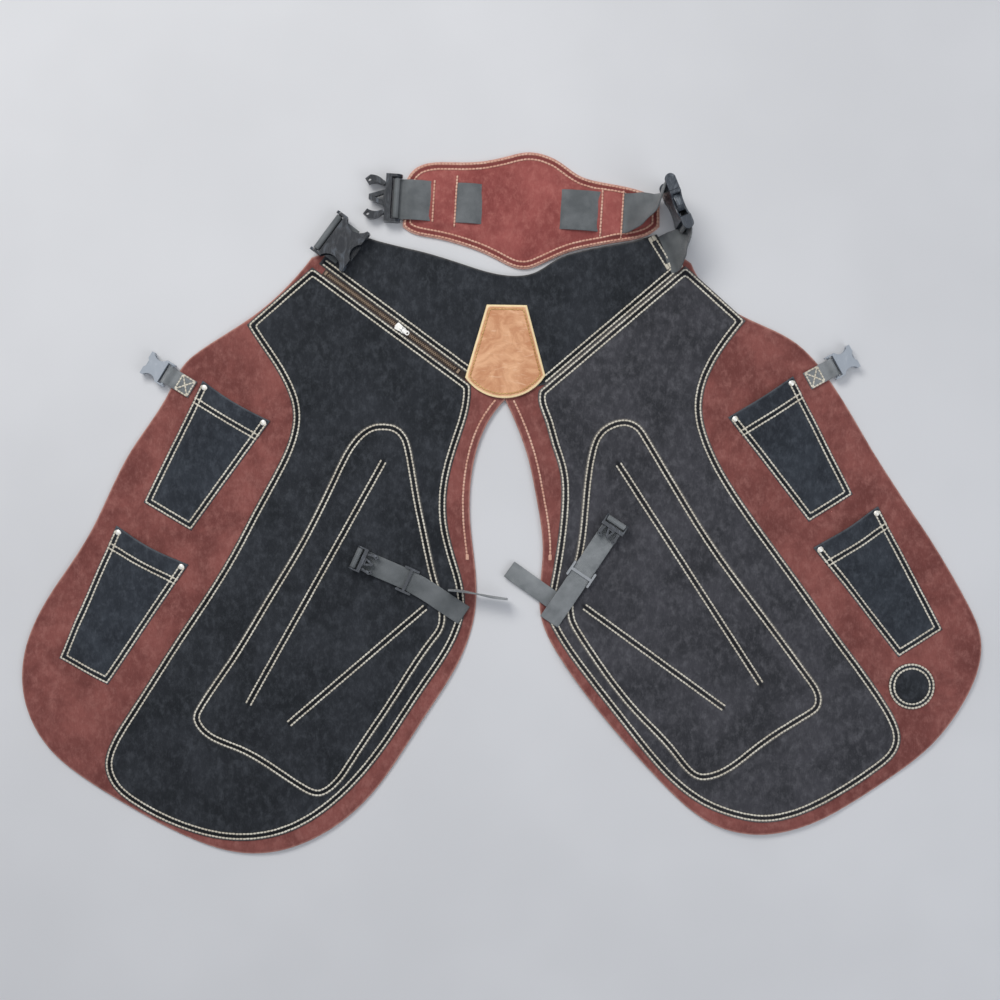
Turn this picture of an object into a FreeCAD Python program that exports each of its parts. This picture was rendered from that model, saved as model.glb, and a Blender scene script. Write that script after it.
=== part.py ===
import FreeCAD, Part
import math
import os

os.makedirs("parts", exist_ok=True)

# A split-leg leather work apron, laid out flat on its back.
# Millimetres. +Z is up from the surface, +Y runs towards the waist, +X to the right in plan.

Vec = FreeCAD.Vector

# ---------------------------------------------------------------- driving dimensions
PANEL_T = 2.2            # red suede leg panels
BLACK_T = 1.8            # black suede patches, yoke and pocket fronts
KNEE_T = 1.6             # second black layer over the knee
TAN_T = 2.6              # tan leather crotch patch
WEB_T = 1.6              # polypropylene webbing
BELT_W = 48.0            # waist webbing
STRAP_W = 25.0           # leg webbing
TAB_W = 22.0             # short webbing tabs on the outer edges
RUN_GAP = 0.3            # clearance between pieces that move against each other
PANEL_TOP = PANEL_T
PATCH_TOP = PANEL_TOP + BLACK_T
KNEE_TOP = PATCH_TOP + KNEE_T

# the two seams where the yoke meets the legs
ZIP_START = (-212.4, 276.0)
ZIP_ANGLE = -36.5
ZIP_LENGTH = 204.0
ZIP_HALF_GAP = 4.0
SLIDER_AT = 116.0
RIGHT_SEAM_TOP = (226.8, 288.0)
RIGHT_SEAM_ANGLE = 220.3
LAP = 12.0               # how far the yoke laps over each leg panel
CENTRE_X = 4.8           # the middle seam between the two leg panels

# pockets: middle of the mouth, middle of the foot, mouth width, foot width
POCKETS = {
    "left_upper_pocket": ((-316.8, 121.2), (-399.6, -17.4), 94.0, 66.0),
    "left_lower_pocket": ((-417.6, -51.6), (-499.8, -202.8), 98.0, 66.0),
    "right_upper_pocket": ((310.8, 126.0), (394.8, -7.2), 92.0, 62.0),
    "right_lower_pocket": ((412.8, -30.0), (502.2, -169.2), 92.0, 62.0),
}
POCKET_FLANGE = 11.0     # flat sewn edge on each side of a pocket front
POCKET_BOW = 10.0        # how far the mouth stands open
FOOT_BOW = 0.6
RIVET_SHANK_R = 1.5
RIVET_HEAD_R = 4.4
RIVET_HEAD_H = 1.7
RIVET_INSET = 6.0

MAGNET_AT = (492.0, -220.8)
MAGNET_R = 17.0
MAGNET_T = 3.0
COVER_R = 27.5

# back pad
PAD_LINING_T = 1.5
PAD_FOAM_T = 3.5
PAD_FACE_T = 2.6
BELT_Z = PAD_LINING_T + PAD_FOAM_T + WEB_T / 2
BELT_START = (-125.0, 362.2)
BELT_ANGLE = -3.6
WINDOWS = ((11.0, 42.0), (73.0, 104.0), (197.5, 242.5), (273.0, 320.0))

# the waist buckle that is clipped together stands on its side edge
CLIPPED_AT = (205.8, 348.0)
CLIPPED_ANGLE = -67.7
CLIPPED_Z = 36.5


# ---------------------------------------------------------------- small geometry helpers
def unit(angle):
    """Plan direction at an angle in degrees."""
    return Vec(math.cos(math.radians(angle)), math.sin(math.radians(angle)), 0)


def along(start, angle, distance, sideways=0.0):
    """A plan point at a distance along a heading, and to its left."""
    step = unit(angle) * distance + unit(angle + 90) * sideways
    return (start[0] + step.x, start[1] + step.y)


def runs_wire(runs, z):
    """Closed wire from smooth runs of plan points that meet at corners."""
    edges = []
    for run in runs:
        points = [Vec(x, y, z) for x, y in run]
        if len(points) == 2:
            edges.append(Part.LineSegment(points[0], points[1]).toShape())
        else:
            curve = Part.BSplineCurve()
            curve.interpolate(points)
            edges.append(curve.toShape())
    return Part.Wire(edges)


def loop_wire(points, z):
    """One smooth closed wire through plan points."""
    curve = Part.BSplineCurve()
    curve.interpolate([Vec(x, y, z) for x, y in points], PeriodicFlag=True)
    return Part.Wire([curve.toShape()])


def slab(wire, height):
    return Part.Face(wire).extrude(Vec(0, 0, height))


def polygon(points, z):
    corners = [Vec(x, y, z) for x, y in points]
    return Part.makePolygon(corners + corners[:1])


def box(x0, x1, y0, y1, z0, z1):
    return Part.makeBox(x1 - x0, y1 - y0, z1 - z0, Vec(x0, y0, z0))


def both_sides(shape):
    return shape.mirror(Vec(0, 0, 0), Vec(0, 1, 0))


def place(shape, at, z, heading=0.0, roll=0.0):
    """Turn a piece from its own frame, then move it to a plan point and height."""
    turn = FreeCAD.Rotation(Vec(0, 0, 1), heading)
    turn = turn.multiply(FreeCAD.Rotation(Vec(1, 0, 0), roll))
    placed = shape.copy()
    placed.Placement = FreeCAD.Placement(Vec(at[0], at[1], z), turn)
    return placed


def cylinder_y(radius, half_length, x=0.0, z=0.0):
    """A round bar that lies across a strap."""
    return Part.makeCylinder(radius, 2 * half_length, Vec(x, -half_length, z), Vec(0, 1, 0))


def ribbon(stations, width, thickness=WEB_T):
    """Webbing through stations (x, y, z, heading, tilt); tilt lifts its right-hand edge."""
    sections = []
    for x, y, z, heading, tilt in stations:
        right = unit(heading - 90)
        across = right * math.cos(math.radians(tilt)) + Vec(0, 0, math.sin(math.radians(tilt)))
        normal = across.cross(unit(heading))
        middle = Vec(x, y, z)
        corners = []
        for side, lift in ((-1, -1), (1, -1), (1, 1), (-1, 1)):
            corners.append(middle + across * (side * width / 2) + normal * (lift * thickness / 2))
        sections.append(Part.makePolygon(corners + corners[:1]))
    return Part.makeLoft(sections, True, True)


def strap_profile(points, width):
    """Webbing from a path of (distance, height) points, in its own frame along +X."""
    upper = [(x, z + WEB_T / 2) for x, z in points]
    lower = [(x, z - WEB_T / 2) for x, z in reversed(points)]
    corners = [Vec(x, -width / 2, z) for x, z in upper + lower]
    face = Part.Face(Part.makePolygon(corners + corners[:1]))
    return face.extrude(Vec(0, width, 0))


def bar_radius(width):
    return 1.3 + 0.02 * width


def loop_radius(width):
    """Radius of the middle of the webbing where it wraps a buckle's bar."""
    return bar_radius(width) + RUN_GAP + WEB_T / 2


def web_loop(width, buckle_width):
    """The turn of webbing around a buckle's bar, centred on that bar."""
    middle = loop_radius(buckle_width)
    outer = cylinder_y(middle + WEB_T / 2, width / 2)
    return outer.cut(cylinder_y(middle - WEB_T / 2, width / 2))


def looped_strap(points, width, buckle_width):
    """A strap whose path starts on the underside of the loop at the origin."""
    strap = strap_profile(points, width)
    bore = cylinder_y(loop_radius(buckle_width) - WEB_T / 2, width / 2)
    return strap.cut(bore).fuse(web_loop(width, buckle_width)).removeSplitter()


# ---------------------------------------------------------------- side-release buckles
class Buckle:
    """Sizes of a side-release buckle for one webbing width."""

    def __init__(self, web):
        self.web = web
        self.width = 1.18 * web
        self.thick = 5.0 + 0.16 * web
        self.wall = 1.5 + 0.01 * web
        self.bar_r = bar_radius(web)
        self.slot_end = self.bar_r + RUN_GAP + WEB_T + 1.6
        self.base_end = self.slot_end + 1.5 + 0.12 * web
        self.arm = 3.0 + 0.46 * web
        self.socket = 15.0 + 0.55 * web
        self.arm_thick = self.thick - 2 * self.wall - 2 * RUN_GAP
        self.arm_r = 0.055 * web
        self.arm_y = 0.31 * self.width


def bar_and_slot(b):
    """The bar that webbing wraps, with the open slot in front of it."""
    half = b.width / 2
    frame = box(0, b.slot_end + 1.5, -half, half, -b.thick / 2, b.thick / 2)
    slot_half = 0.52 * b.web + 0.1
    slot = box(-b.width, b.slot_end, -slot_half, slot_half, -b.thick, b.thick)
    cheeks = frame.cut(slot)
    ends = cylinder_y(b.thick / 2, half).cut(cylinder_y(b.thick / 2, slot_half))
    return cheeks.fuse(ends).fuse(cylinder_y(b.bar_r, half))


def socket_outline(b):
    """Hourglass plan of the socket: waisted where the fingers squeeze."""
    half = b.width / 2
    waist = 0.66 * half
    start = b.slot_end
    middle = start + 0.56 * (b.socket - start)
    edges = []
    for side in (1, -1):
        shoulder = Vec(start + 3, side * half, 0)
        lip = Vec(b.socket - 3.5, side * half, 0)
        edges.append(Part.LineSegment(Vec(start, side * half, 0), shoulder).toShape())
        edges.append(Part.Arc(shoulder, Vec(middle, side * waist, 0), lip).toShape())
        edges.append(Part.LineSegment(lip, Vec(b.socket, side * half, 0)).toShape())
    edges.append(Part.LineSegment(Vec(start, half, 0), Vec(start, -half, 0)).toShape())
    edges.append(Part.LineSegment(Vec(b.socket, half, 0), Vec(b.socket, -half, 0)).toShape())
    return Part.Wire(Part.__sortEdges__(edges))


def socket(b):
    """Female half: a flat box with an open mouth and an open window on each side."""
    shell = Part.Face(socket_outline(b)).extrude(Vec(0, 0, b.thick))
    shell.translate(Vec(0, 0, -b.thick / 2))
    hollow_h = b.thick / 2 - b.wall
    hollow_w = b.width / 2 - b.wall
    back = b.slot_end + 2.4
    shell = shell.cut(box(back, b.socket + 1, -hollow_w, hollow_w, -hollow_h, hollow_h))
    notch = Part.makeCylinder(0.24 * b.width, b.thick, Vec(b.socket + 0.14 * b.width, 0, 0))
    return bar_and_slot(b).fuse(shell).cut(notch).removeSplitter()


def clip_base(b):
    """Male half without its arms: bar, block and the pointed centre guide."""
    half = b.width / 2
    block = box(b.slot_end, b.base_end, -half, half, -b.thick / 2, b.thick / 2)
    base = bar_and_slot(b).fuse(block)
    guide_end = b.base_end + 0.78 * b.arm
    foot = 0.17 * b.width
    tip = 0.05 * b.width
    outline = [(b.base_end, -foot), (guide_end, -tip), (guide_end, tip), (b.base_end, foot)]
    hollow = [(b.base_end + 2, -foot * 0.45), (guide_end - 0.28 * b.arm, 0), (b.base_end + 2, foot * 0.45)]
    guide = slab(polygon(outline, -b.arm_thick / 2), b.arm_thick)
    guide = guide.cut(slab(polygon(hollow, -b.arm_thick), 2 * b.arm_thick))
    return base.fuse(guide).removeSplitter()


def arm_pivot(b):
    """Where a release arm flexes, in the buckle's own frame."""
    return (b.base_end + RUN_GAP + b.arm_r, b.arm_y)


def clip_arm(b):
    """One springy release arm on the left side, with its grip bulge, barb and eye hole."""
    x0, y0 = arm_pivot(b)
    reach = b.arm - b.arm_r - RUN_GAP
    edge = b.width / 2 - b.wall - RUN_GAP
    r = b.arm_r
    low = -b.arm_thick / 2
    root = Part.makeCylinder(r, b.arm_thick, Vec(x0, y0, low))
    outer = [(x0, y0 + r), (x0 + 0.42 * reach, edge - 0.6), (x0 + 0.72 * reach, edge)]
    tip = [(x0 + 0.72 * reach, edge), (x0 + reach, edge - 0.09 * b.width)]
    nose = [(x0 + reach, edge - 0.09 * b.width), (x0 + 0.80 * reach, edge - 0.20 * b.width)]
    inner = [(x0 + 0.80 * reach, edge - 0.20 * b.width), (x0 + 0.40 * reach, y0 - 0.2 * r), (x0, y0 - r)]
    close = [(x0, y0 - r), (x0, y0 + r)]
    arm = slab(runs_wire([outer, tip, nose, inner, close], low), b.arm_thick).fuse(root)
    eye = Part.makeCylinder(0.035 * b.width, 4 * b.arm_thick,
                            Vec(x0 + 0.76 * reach, edge - 0.10 * b.width, -2 * b.arm_thick))
    return arm.cut(eye).removeSplitter()


LEG = Buckle(STRAP_W)
WAIST = Buckle(BELT_W)


# ---------------------------------------------------------------- leather body
def zip_point(distance, sideways=0.0):
    return along(ZIP_START, ZIP_ANGLE, distance, sideways)


def right_seam_point(distance, sideways=0.0):
    return along(RIGHT_SEAM_TOP, RIGHT_SEAM_ANGLE, distance, sideways)


LEFT_LEG_EDGE = [
    (-227, 293), (-249, 266), (-299, 221), (-360, 182), (-379, 166), (-398, 132), (-444, 60),
    (-498, -47), (-547, -122), (-570, -177), (-570, -241), (-534, -303), (-505, -327), (-458, -357),
    (-374, -402), (-299, -421), (-222, -402), (-157, -352), (-96, -264), (-42, -172), (-30, -122),
    (-37, -23), (-35, 34), (-16, 95), (CENTRE_X - 0.3, 122),
]
RIGHT_LEG_EDGE = [
    (228, 286), (293, 221), (354, 190), (400, 137), (446, 60), (503, -28), (560, -124), (574, -161),
    (557, -234), (511, -295), (446, -344), (361, -389), (305, -398), (254, -386), (193, -337),
    (128, -264), (71, -187), (48, -138), (50, -61), (42, 7), (32, 54), (17, 96), (CENTRE_X + 0.3, 122),
]
LEFT_PATCH_SIDE = [
    (-304, 212), (-279, 174), (-258, 138), (-249.5, 110), (-254, 75), (-272, 35), (-298, -13),
    (-325, -64), (-390, -165), (-445, -251), (-467, -288), (-474, -314), (-465, -340), (-439, -363),
    (-381, -392), (-333, -404), (-289, -404), (-240, -389), (-204, -366), (-137, -293), (-92, -225),
    (-49, -153), (-43.5, -130), (-44, -107), (-54, -68), (-63.5, -30), (-63.7, 20), (-50.6, 70.6),
    (-38, 113),
]
RIGHT_PATCH_SIDE = [
    (293, 217), (256, 166), (242, 128), (241, 107), (247, 80), (289, 1), (349, -83), (409, -167),
    (460, -238), (474, -264), (478, -283), (471, -303), (452, -321), (384, -363), (347, -378),
    (311, -383), (280, -378), (237, -361), (205, -337), (152, -276), (95, -203), (64, -157),
    (54.5, -132), (57.5, -106), (64.6, -68), (69.7, -30), (72.2, 5), (69.7, 38), (59.6, 70.6),
    (52.5, 96), (44.4, 121),
]
LEFT_KNEE = [
    (-143, 95), (-160, 91), (-175, 79), (-200, 37), (-240, -44), (-283, -116), (-324, -184),
    (-363, -242), (-369, -257), (-361, -275), (-314, -300), (-242, -344), (-217, -353), (-198, -343),
    (-175, -313), (-127, -241), (-79, -169), (-67, -150), (-65.5, -133), (-74.5, -95), (-86.5, -42),
    (-97, 10), (-106, 62), (-114, 83), (-127, 93),
]
RIGHT_KNEE = [
    (147, 100), (130, 96), (113, 82), (105, 62), (99, 28), (89, -62), (77.5, -122), (80, -143),
    (90, -162), (119, -205), (160, -256), (203, -302), (219, -322), (235, -333), (254, -332),
    (308, -298), (368, -259), (382, -247), (384, -231), (373, -210), (325, -145), (289, -97),
    (241, -28), (209, 25), (178, 77), (165, 94),
]
YOKE_TOP = [(-187, 327), (-152, 314), (-82, 296), (-47, 285), (6, 271), (41, 274.5), (66, 289.5),
            (92, 299), (119, 305), (150, 310.5), (178, 315.5)]


def left_leg_panel():
    top = zip_point(-14, LAP + ZIP_HALF_GAP)
    inner = zip_point(246, LAP + ZIP_HALF_GAP)
    apex = LEFT_LEG_EDGE[-1]
    runs = [LEFT_LEG_EDGE, [apex, (apex[0], inner[1])], [(apex[0], inner[1]), inner],
            [inner, top], [top, LEFT_LEG_EDGE[0]]]
    return slab(runs_wire(runs, 0), PANEL_T)


def right_leg_panel():
    top = right_seam_point(4, -LAP)
    inner = right_seam_point(252, -LAP)
    apex = RIGHT_LEG_EDGE[-1]
    runs = [RIGHT_LEG_EDGE, [apex, (apex[0], inner[1])], [(apex[0], inner[1]), inner],
            [inner, top], [top, RIGHT_LEG_EDGE[0]]]
    return slab(runs_wire(runs, 0), PANEL_T)


def left_leg_patch():
    corner = zip_point(-14, -ZIP_HALF_GAP)
    inner = zip_point(222, -ZIP_HALF_GAP)
    side = LEFT_PATCH_SIDE + [inner]
    runs = [[corner, side[0]], side, [inner, corner]]
    return slab(runs_wire(runs, PANEL_TOP), BLACK_T)


def right_leg_patch():
    corner = right_seam_point(8, 0.3)
    inner = right_seam_point(238, 0.3)
    side = RIGHT_PATCH_SIDE + [inner]
    runs = [[corner, side[0]], side, [inner, corner]]
    return slab(runs_wire(runs, PANEL_TOP), BLACK_T)


def waist_yoke():
    left_top = zip_point(-10, ZIP_HALF_GAP)
    left_low = zip_point(226, ZIP_HALF_GAP)
    right_top = right_seam_point(8, 0)
    right_low = right_seam_point(228, 0)
    runs = [[left_top, YOKE_TOP[0]], YOKE_TOP, [YOKE_TOP[-1], right_top], [right_top, right_low],
            [right_low, (CENTRE_X, 130)], [(CENTRE_X, 130), left_low], [left_low, left_top]]
    return slab(runs_wire(runs, PANEL_TOP), BLACK_T)


def crotch_patch():
    top_left = (-17, 236)
    top_right = (31, 235)
    right = (53, 151)
    left = (-43, 149)
    z = PATCH_TOP
    arc = Part.Arc(Vec(*right, z), Vec(CENTRE_X, 124, z), Vec(*left, z)).toShape()
    sides = [Part.LineSegment(Vec(*a, z), Vec(*b, z)).toShape()
             for a, b in ((left, top_left), (top_left, top_right), (top_right, right))]
    return slab(Part.Wire(sides + [arc]), TAN_T)


# ---------------------------------------------------------------- pockets, rivets and magnet
def pocket_frame(name):
    """Middle of the foot, heading up to the mouth, and depth of a pocket."""
    mouth, foot, _, _ = POCKETS[name]
    dx, dy = mouth[0] - foot[0], mouth[1] - foot[1]
    return foot, math.degrees(math.atan2(dy, dx)), math.hypot(dx, dy)


def pocket_section(x, width, bow):
    """Cross-section of a pocket front: flat sewn flanges and a bowed middle."""
    half = width / 2
    fold = half - POCKET_FLANGE
    t = BLACK_T

    def line(y0, z0, y1, z1):
        return Part.LineSegment(Vec(x, y0, z0), Vec(x, y1, z1)).toShape()

    under = Part.Arc(Vec(x, -fold, 0), Vec(x, 0, bow), Vec(x, fold, 0)).toShape()
    over = Part.Arc(Vec(x, fold, t), Vec(x, 0, bow + t), Vec(x, -fold, t)).toShape()
    return Part.Wire([line(-half, 0, -fold, 0), under, line(fold, 0, half, 0), line(half, 0, half, t),
                      line(half, t, fold, t), over, line(-fold, t, -half, t), line(-half, t, -half, 0)])


def rivet_points(name):
    foot, heading, depth = pocket_frame(name)
    half = POCKETS[name][2] / 2 - RIVET_INSET
    return [along(foot, heading, depth - RIVET_INSET, side * half) for side in (1, -1)]


def rivet_holes(names):
    points = [p for name in names for p in rivet_points(name)]
    return Part.makeCompound([Part.makeCylinder(RIVET_SHANK_R, 20, Vec(x, y, -5)) for x, y in points])


def pocket(name):
    foot, heading, depth = pocket_frame(name)
    mouth_width, foot_width = POCKETS[name][2:]
    front = Part.makeLoft([pocket_section(0, foot_width, FOOT_BOW),
                           pocket_section(depth, mouth_width, POCKET_BOW)], True, True)
    return place(front, foot, PANEL_TOP, heading).cut(rivet_holes([name]))


def rivets():
    """Domed cap rivets at the two mouth corners of every pocket."""
    pieces = []
    dome_r = (RIVET_HEAD_R ** 2 + RIVET_HEAD_H ** 2) / (2 * RIVET_HEAD_H)
    seat = PANEL_TOP + BLACK_T
    for name in POCKETS:
        for x, y in rivet_points(name):
            ball = Part.makeSphere(dome_r, Vec(x, y, seat + RIVET_HEAD_H - dome_r))
            head = ball.common(Part.makeCylinder(RIVET_HEAD_R + 1, 10, Vec(x, y, seat)))
            shank = Part.makeCylinder(RIVET_SHANK_R, seat + 0.3, Vec(x, y, 0))
            pieces.append(head.fuse(shank).removeSplitter())
    return Part.makeCompound(pieces)


def magnet():
    return Part.makeCylinder(MAGNET_R, MAGNET_T, Vec(*MAGNET_AT, PANEL_TOP))


def magnet_cover():
    """Leather disc raised over the magnet and sewn down round it."""
    z = PANEL_TOP
    profile = [(MAGNET_R + 1, z), (COVER_R, z), (COVER_R, z + BLACK_T), (MAGNET_R + 4, z + BLACK_T),
               (MAGNET_R - 1, z + MAGNET_T + BLACK_T), (0, z + MAGNET_T + BLACK_T), (0, z + MAGNET_T),
               (MAGNET_R + 1, z + MAGNET_T)]
    corners = [Vec(x, 0, h) for x, h in profile]
    face = Part.Face(Part.makePolygon(corners + corners[:1]))
    disc = face.revolve(Vec(0, 0, 0), Vec(0, 0, 1), 360)
    disc.translate(Vec(*MAGNET_AT, 0))
    return disc


# ---------------------------------------------------------------- zip fastener
TAPE_T = 0.5
CHAIN_T = 1.2
CHAIN_HALF = 2.2
TOOTH_PITCH = 4.0
CHAIN_Z = PANEL_TOP + TAPE_T
SLIDER_L = 14.0
SLIDER_HALF = 4.6
PULL_L = 11.0
LINING_T = 1.2
PULL_BAR_R = 0.8
PULL_Z = 7.4


def on_zip(shape, distance=0.0, z=0.0):
    return place(shape, zip_point(distance), z, ZIP_ANGLE)


def zip_tapes():
    inner = CHAIN_HALF + 0.1
    strip = box(0, ZIP_LENGTH, inner, ZIP_HALF_GAP - 0.1, PANEL_TOP, PANEL_TOP + TAPE_T)
    bed = box(0, ZIP_LENGTH, -inner, inner, PANEL_TOP, PANEL_TOP + TAPE_T)
    return on_zip(bed.fuse(strip).fuse(both_sides(strip)).removeSplitter())


def zip_chain():
    """The closed row of teeth, with a toothed edge on each side."""
    count = int((ZIP_LENGTH - 12) / TOOTH_PITCH)
    side = []
    for i in range(count):
        x = 6 + i * TOOTH_PITCH
        side += [(x, CHAIN_HALF), (x + 0.5 * TOOTH_PITCH, CHAIN_HALF), (x + 0.5 * TOOTH_PITCH, 1.5),
                 (x + TOOTH_PITCH, 1.5)]
    other = [(x, -y) for x, y in reversed(side)]
    return on_zip(slab(polygon(side + other, CHAIN_Z), CHAIN_T))


def zip_stops():
    stop = box(-1.5, 1.5, -2.6, 2.6, CHAIN_Z, CHAIN_Z + 1.8)
    return Part.makeCompound([on_zip(stop, 3.5), on_zip(stop, ZIP_LENGTH - 3.5)])


def zip_slider():
    """Slider body: top plate, side flanges, and two posts that carry the pull's bar."""
    half = SLIDER_L / 2
    nose = Part.Arc(Vec(-half, -SLIDER_HALF, 0), Vec(-half - 1.5, 0, 0), Vec(-half, SLIDER_HALF, 0))
    tail = Part.Arc(Vec(half, 2.6, 0), Vec(half + 1, 0, 0), Vec(half, -2.6, 0))
    sides = [Part.LineSegment(Vec(-half, SLIDER_HALF, 0), Vec(half, 2.6, 0)),
             Part.LineSegment(Vec(half, -2.6, 0), Vec(-half, -SLIDER_HALF, 0))]
    wire = Part.Wire([nose.toShape(), sides[0].toShape(), tail.toShape(), sides[1].toShape()])
    plate = slab(wire, 1.2)
    plate.translate(Vec(0, 0, 4.3))
    flange = box(-half + 1, half - 3, CHAIN_HALF + 0.4, ZIP_HALF_GAP - 0.3, 3.0, 4.3)
    post = box(-1.6, 1.6, 2.3, 3.3, 5.5, PULL_Z + 1.2)
    bar = cylinder_y(PULL_BAR_R, 2.8, 0, PULL_Z)
    body = plate.fuse([flange, both_sides(flange), post, both_sides(post), bar])
    return on_zip(body.removeSplitter(), SLIDER_AT)


def zip_pull():
    """Flat tab that hangs on the slider's bar."""
    eye = cylinder_y(1.7, 1.9, 0, PULL_Z)
    tab = box(0.9, PULL_L - 2.5, -1.9, 1.9, PULL_Z - 0.6, PULL_Z + 0.6)
    end = Part.makeCylinder(2.9, 1.2, Vec(PULL_L - 2.5, 0, PULL_Z - 0.6))
    hole = Part.makeCylinder(1.2, 4, Vec(PULL_L - 2.0, 0, PULL_Z - 2))
    pull = eye.fuse([tab, end]).cut(cylinder_y(PULL_BAR_R + 0.08, 3, 0, PULL_Z)).cut(hole)
    return on_zip(pull.removeSplitter(), SLIDER_AT)


def zip_pocket_lining():
    """Cloth pocket behind the zip, sewn up from two flat layers."""
    corners = [zip_point(70, 19), zip_point(192, 19), (-20, 196), (-20, 262), (-100, 285)]
    return slab(polygon(corners, PANEL_TOP - LINING_T), LINING_T)


# ---------------------------------------------------------------- webbing tabs and sockets
def socket_tab(width, buckle_width, sewn, rise):
    """Tab that is sewn flat on one side of a socket's bar and turns round the bar."""
    drop = loop_radius(buckle_width)
    ramp = Buckle(buckle_width).slot_end - 1.5
    path = [(0, -drop), (ramp, -rise), (ramp + sewn, -rise)]
    return looped_strap(path, width, buckle_width)


OUTER = {
    "left": {"bar": (-398.5, 152.0), "angle": 148.7},
    "right": {"bar": (396.5, 160.8), "angle": 28.7},
}
OUTER_Z = PANEL_TOP + 0.8 + LEG.thick / 2
OUTER_RISE = OUTER_Z - PANEL_TOP - WEB_T / 2


def outer_tab(side):
    at = OUTER[side]
    tab = socket_tab(TAB_W, STRAP_W, 30.0, OUTER_RISE)
    return place(tab, at["bar"], OUTER_Z, at["angle"] + 180)


def outer_socket(side):
    at = OUTER[side]
    return place(socket(LEG), at["bar"], OUTER_Z, at["angle"])


# the left waist socket is folded back over the yoke's corner
FOLDED_BAR = (-206.0, 321.0)
FOLDED_Z = PATCH_TOP + WEB_T + 0.4 + WAIST.thick / 2
FOLDED_RISE = FOLDED_Z - PATCH_TOP - WEB_T / 2


def left_yoke_tab():
    tab = socket_tab(BELT_W, BELT_W, 24.0, FOLDED_RISE)
    return place(tab, FOLDED_BAR, FOLDED_Z, ZIP_ANGLE)


def left_waist_socket():
    return place(socket(WAIST), FOLDED_BAR, FOLDED_Z, ZIP_ANGLE)


# ---------------------------------------------------------------- leg straps
STRAP_Z = 9.4
ANCHOR_Z = PATCH_TOP + 0.2 + WEB_T / 2
CLIP_Z = STRAP_Z + WEB_T / 2 + 0.4 + LEG.thick / 2
STRAPS = {
    "left": {"root": (-55.1, -128.5), "angle": 145.7, "bend": 50.5, "turn": 10.0, "length": 132.5,
             "glide": 66.5},
    "right": {"root": (64.5, -132.6), "angle": 56.1, "bend": 82.0, "turn": 0.0, "length": 130.0,
              "glide": 56.0},
}
GLIDE_L = 21.0
GLIDE_HALF = STRAP_W / 2 + 3.1


def strap_point(side, distance):
    """Plan point and heading of a leg strap's middle at a distance from its root."""
    s = STRAPS[side]
    if distance <= s["bend"]:
        return along(s["root"], s["angle"], distance), s["angle"]
    corner = along(s["root"], s["angle"], s["bend"])
    return along(corner, s["angle"] + s["turn"], distance - s["bend"]), s["angle"] + s["turn"]


def leg_strap(side):
    """Webbing from the leg's edge, along the leg, and round the clip's bar."""
    s = STRAPS[side]
    end = s["length"]
    ramp = LEG.slot_end - 1.5
    drop = loop_radius(STRAP_W)
    stations = []
    for distance in (1.5, s["bend"] - 8, s["bend"], end - ramp):
        (x, y), heading = strap_point(side, distance)
        if distance == s["bend"]:
            heading = s["angle"] + s["turn"] / 2
        stations.append((x, y, STRAP_Z, heading, 0))
    run = ribbon(stations, STRAP_W)
    (x, y), heading = strap_point(side, end)
    turn = looped_strap([(0, -drop), (ramp, STRAP_Z - CLIP_Z)], STRAP_W, STRAP_W)
    return run.fuse(place(turn, (x, y), CLIP_Z, heading + 180)).removeSplitter()


def strap_anchor(side):
    """The sewn root of a leg strap, on the leg's inner edge."""
    s = STRAPS[side]
    path = [(-13.0, ANCHOR_Z), (-1.5, ANCHOR_Z)]
    return place(strap_profile(path, STRAP_W), s["root"], 0, s["angle"])


def strap_tail(side):
    """The spare end of the webbing: on edge on the left, flat on the right."""
    if side == "left":
        return ribbon([(-63, -104.5, 16, -4, 90), (-30, -109, 16, -10, 90), (8, -115.5, 16, -9, 90)], 20.0)
    return ribbon([(62, -117.4, 5.1, 144.5, 0), (9.6, -80, 5.1, 144.5, 0)], 22.0)


def slide_adjuster(side):
    """Three-bar slide: two bars under the webbing and one over it."""
    low, high = -3.2, 3.3
    arm_in = STRAP_W / 2 + 0.5
    arm = box(-GLIDE_L / 2 + 2, GLIDE_L / 2 - 2, arm_in, GLIDE_HALF, low, high)
    ends = [Part.makeCylinder((GLIDE_HALF - arm_in) / 2, high - low,
                              Vec(x, (GLIDE_HALF + arm_in) / 2, low))
            for x in (-GLIDE_L / 2 + 2, GLIDE_L / 2 - 2)]
    arm = arm.fuse(ends)
    under = box(GLIDE_L / 2 - 5, GLIDE_L / 2 - 2, -GLIDE_HALF + 1, GLIDE_HALF - 1, low, -1.1)
    over = box(-1.7, 1.7, -GLIDE_HALF + 1, GLIDE_HALF - 1, 1.1, high)
    other_under = under.mirror(Vec(0, 0, 0), Vec(1, 0, 0))
    frame = arm.fuse([both_sides(arm), under, other_under, over]).removeSplitter()
    at, heading = strap_point(side, STRAPS[side]["glide"])
    return place(frame, at, STRAP_Z, heading)


def on_leg_clip(shape, side):
    """The clip is folded back, so it points from the strap's end to its root."""
    at, heading = strap_point(side, STRAPS[side]["length"])
    return place(shape, at, CLIP_Z, heading + 180)


# ---------------------------------------------------------------- back pad and belt
PAD_TOP = [(-113, 386), (-102, 400), (-54, 407), (-16, 409), (11, 415), (32, 419), (52, 416), (71, 407),
           (94, 391), (121, 383), (167, 373), (190, 362)]
PAD_FOOT = [(190, 330), (172, 318), (144, 312), (109, 306), (83, 300), (48, 285), (29, 279), (12, 282),
            (-3, 289.5), (-25, 300), (-49, 308.5), (-81, 316.5), (-107, 322.5), (-118, 330)]

PAD_SIZE = (303.0, 139.0)
PAD_MIDDLE = (38.0, 350.0)
FOAM_MARGIN = 9.0


def pad_wire(z):
    return runs_wire([PAD_TOP, [PAD_TOP[-1], PAD_FOOT[0]], PAD_FOOT, [PAD_FOOT[-1], PAD_TOP[0]]], z)


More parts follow.
